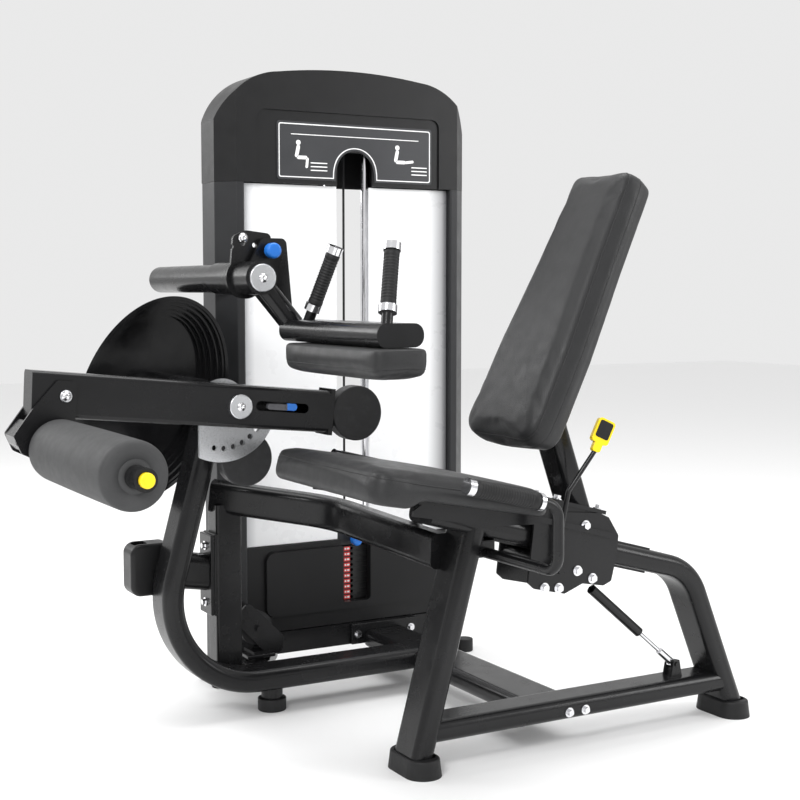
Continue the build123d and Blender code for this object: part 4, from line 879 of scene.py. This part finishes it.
def on_placard(name, outline, holes, lift, thick):
    """A flat shape on the placard, from outlines in station millimetres."""
    rings = [[(x / 1000, z / 1000) for x, z in ring] for ring in [outline] + holes]
    origin = station(0, PLACARD_FRONT - lift, 0)
    shape = flat_shape(name, rings[0], rings[1:], origin, (1, 0, 0), (0, 0, 1), thick)
    return shape


def bar(cx, cz, length, width, turn=0.0):
    """Outline of a round-cornered bar in station x and z."""
    ring = rounded_ring(length, width, width * 0.49, steps=4)
    c = math.cos(math.radians(turn))
    s = math.sin(math.radians(turn))
    return [(cx + x * c - y * s, cz + x * s + y * c) for x, y in ring]


def disc(cx, cz, radius):
    return [(cx + radius * math.cos(math.pi * k / 12), cz + radius * math.sin(math.pi * k / 12))
            for k in range(24)]


def seated_figure(cx, cz, size, bent):
    """Outlines of a plain seated stick figure, with its shin down or raised."""
    parts = [disc(cx - 0.10 * size, cz + 0.42 * size, 0.10 * size),
             bar(cx - 0.14 * size, cz + 0.08 * size, 0.50 * size, 0.15 * size, 78),
             bar(cx + 0.06 * size, cz - 0.16 * size, 0.46 * size, 0.14 * size, 0)]
    if bent:
        parts.append(bar(cx + 0.28 * size, cz - 0.36 * size, 0.42 * size, 0.11 * size, 84))
    else:
        parts.append(bar(cx + 0.46 * size, cz - 0.14 * size, 0.42 * size, 0.11 * size, 8))
    return parts


def make_placard(white, grey):
    """Dark placard with a line round it, a rule, two plain seated figures and bars in place of text."""
    board = on_placard("placard", placard_ring(0), [], 0.0, 0.0014)
    dress_piece(board, "hood_plastic", "frame", grey)
    marks = [on_placard("mark", placard_ring(5), [placard_ring(7.5)], MARK_LIFT, MARK_THICK)]
    marks.append(on_placard("mark", rounded_ring(360, 2.0, 0.9, 264, 1352), [], MARK_LIFT, MARK_THICK))
    figures = seated_figure(110, 1306, 62, True) + seated_figure(388, 1306, 62, False)
    for outline in figures:
        marks.append(on_placard("mark", outline, [], MARK_LIFT, MARK_THICK))
    for k in range(3):
        marks.append(on_placard("mark", bar(160, 1284 - 9 * k, 46, 2.6), [], MARK_LIFT, MARK_THICK))
        marks.append(on_placard("mark", bar(446, 1284 - 9 * k, 46, 2.6), [], MARK_LIFT, MARK_THICK))
    lines = joined("placard_marks", marks)
    dress_piece(lines, "frosted_panel", "frame", white)


def surface_at(node, near):
    """The nearest point of a CAD node's surface, and its normal."""
    mesh = nodes[node].data
    tree = BVHTree.FromPolygons([v.co for v in mesh.vertices], [tuple(f.vertices) for f in mesh.polygons])
    place, normal, _, _ = tree.find_nearest(near)
    return place, normal


def make_badge(silver):
    """Blank pill-shaped badge on the hood's brow."""
    place, normal = surface_at("tower_hood", station(188.5, 752, 1474))
    if normal.y > 0:
        normal = -normal
    across = Vector((1, 0, 0))
    rise = normal.cross(across).normalized()
    ring = rounded_ring(0.091, 0.027, 0.0134, steps=10)
    plate = flat_shape("brow_badge", ring, [], place, across, rise, 0.0014, 0.0002)
    dress_piece(plate, "hood_plastic", "frame")
    edge = rounded_ring(0.087, 0.023, 0.0114, steps=10)
    hole = rounded_ring(0.083, 0.019, 0.0094, steps=10)
    line = flat_shape("brow_badge_line", edge, [hole], place + normal * 0.0015, across, rise, 0.0004)
    dress_piece(line, "brushed_metal", "frame", silver)


def make_labels(white, red):
    """A small red label with two pale bars on the front of each resting plate, beside its pin hole."""
    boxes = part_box("fixed_plates")
    count = 11
    pitch = (boxes[1].z - boxes[0].z + 0.0006) / count
    red_tabs = []
    pale_bars = []
    for k in range(count):
        level = boxes[0].z + pitch * (k + 0.5)
        origin = Vector((station(248, 0, 0).x, boxes[0].y - 0.0001, level))
        tab = rounded_ring(0.018, 0.0105, 0.001, steps=2)
        red_tabs.append(flat_shape("label", tab, [], origin, (1, 0, 0), (0, 0, 1), 0.0003))
        for shift, length in ((-0.0045, 0.0045), (0.0035, 0.0065)):
            place = origin + Vector((shift, -0.00035, 0))
            pale_bars.append(flat_shape("label", rounded_ring(length, 0.0045, 0.0006, steps=2), [], place,
                                        (1, 0, 0), (0, 0, 1), 0.0002))
    dress_piece(joined("plate_labels", red_tabs), "frosted_panel", "frame", red)
    dress_piece(joined("plate_label_bars", pale_bars), "frosted_panel", "frame", white)


def make_paddle_inset(black):
    """Soft black insert in the release paddle's face."""
    lean = math.radians(63.0)
    along = Vector((math.cos(lean), 0, math.sin(lean)))
    out = Vector((-0.28 * math.sin(lean), -0.96, 0.28 * math.cos(lean))).normalized()
    across = along.cross(out).normalized()
    centre = station(397.5, -97, 683) + out * 0.0069
    ring = rounded_ring(0.029, 0.036, 0.004, steps=5)
    inset = flat_shape("paddle_inset", ring, [], centre, across, along, 0.0012, 0.0003)
    dress_piece(inset, "grip_rubber", "back_lever", black)


def button_bolt(place, out, radius, tall):
    """Domed bolt head with a hexagon socket, on a washer."""
    steps = [(0.0, radius * 1.35), (0.0012, radius * 1.35), (0.0014, radius * 1.02)]
    steps += [(0.0014 + tall * math.sin(math.radians(a)), radius * (0.45 + 0.55 * math.cos(math.radians(a))))
              for a in (10, 30, 50, 70, 90)]
    steps += [(0.0014 + tall * 0.98, radius * 0.40), (0.0014 + tall * 0.35, radius * 0.38)]
    start = Vector(place)
    return lathe("bolt", start, start + Vector(out), steps, 24)


def make_cap_bolts():
    """Socket-headed bolt in the middle of each turned cap."""
    for node, body, x, z in (("pivot_cap", "leg_arm", -270, 735), ("pivot_cap", "leg_arm", -631, 770),
                             ("thigh_cap", "thigh_clamp", -245, 996)):
        middle = station(x, 120, z)
        face = surface_at(node, middle)[0]
        head = button_bolt((middle.x, face.y - 0.0002, middle.z), (0, -1, 0), 0.0068, 0.0022)
        head.name = f"{node}_bolt_{abs(x)}"
        head.data.polygons.foreach_set("use_smooth", [True] * len(head.data.polygons))
        dress_piece(head, "chrome", body)


def two_tone(name, base, other, edge):
    """Dark lever whose end past edge, along X, is coloured."""
    bar = Finish(name, base, 0.24, metal=0.0, specular=0.5)
    coord = bar.node("ShaderNodeTexCoord")
    parts = bar.node("ShaderNodeSeparateXYZ")
    bar.link(coord.outputs["Object"], parts.inputs["Vector"])
    bar.tint(bar.noise(30.0, 3.0), tuple(c * 1.6 for c in base))
    bar.tint(parts.outputs["X"], other, edge, edge + 0.0004)
    bar.gloss(bar.noise(60.0, 4.0), 0.06)
    bar.relief(bar.noise(900.0, 2.0), 0.0001, 0.2)
    return bar.mat


def dress_lever():
    low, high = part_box("arm_lever")
    lever = nodes["arm_lever"]
    lever.data.materials.clear()
    lever.data.materials.append(two_tone("lever_two_tone", (0.05, 0.05, 0.055), (0.015, 0.15, 0.55),
                                         low.x + (high.x - low.x) * 0.66))


def make_bolts():
    """Bolts of the thigh clamp's fixed plate."""
    spots = ((-250, 1078), (-196, 1066))
    clamp = [button_bolt(station(x, 262.6, z), (0, -1, 0), 0.0075, 0.005) for x, z in spots]
    heads = joined("clamp_bolts", clamp)
    heads.data.polygons.foreach_set("use_smooth", [True] * len(heads.data.polygons))
    dress_piece(heads, "chrome", "frame")


# ------------------------------------------------------------------ everything in order
make_camera()
make_studio()
dress_nodes()
paint_white = moulded("label_white", (0.80, 0.80, 0.80), 0.45, 900.0, 0.00005)
paint_red = moulded("label_red", (0.62, 0.03, 0.03), 0.45, 900.0, 0.00005)
paint_board = moulded("placard_board", (0.030, 0.031, 0.034), 0.35, 900.0, 0.00005)
paint_silver = brushed("badge_silver", (0.62, 0.63, 0.65), 0.32)
make_pads()
make_roller()
make_grips()
make_placard(paint_white, paint_board)
make_badge(paint_silver)
make_labels(paint_white, paint_red)
make_paddle_inset(finishes["grip_rubber"])
make_bolts()
make_cap_bolts()
dress_lever()
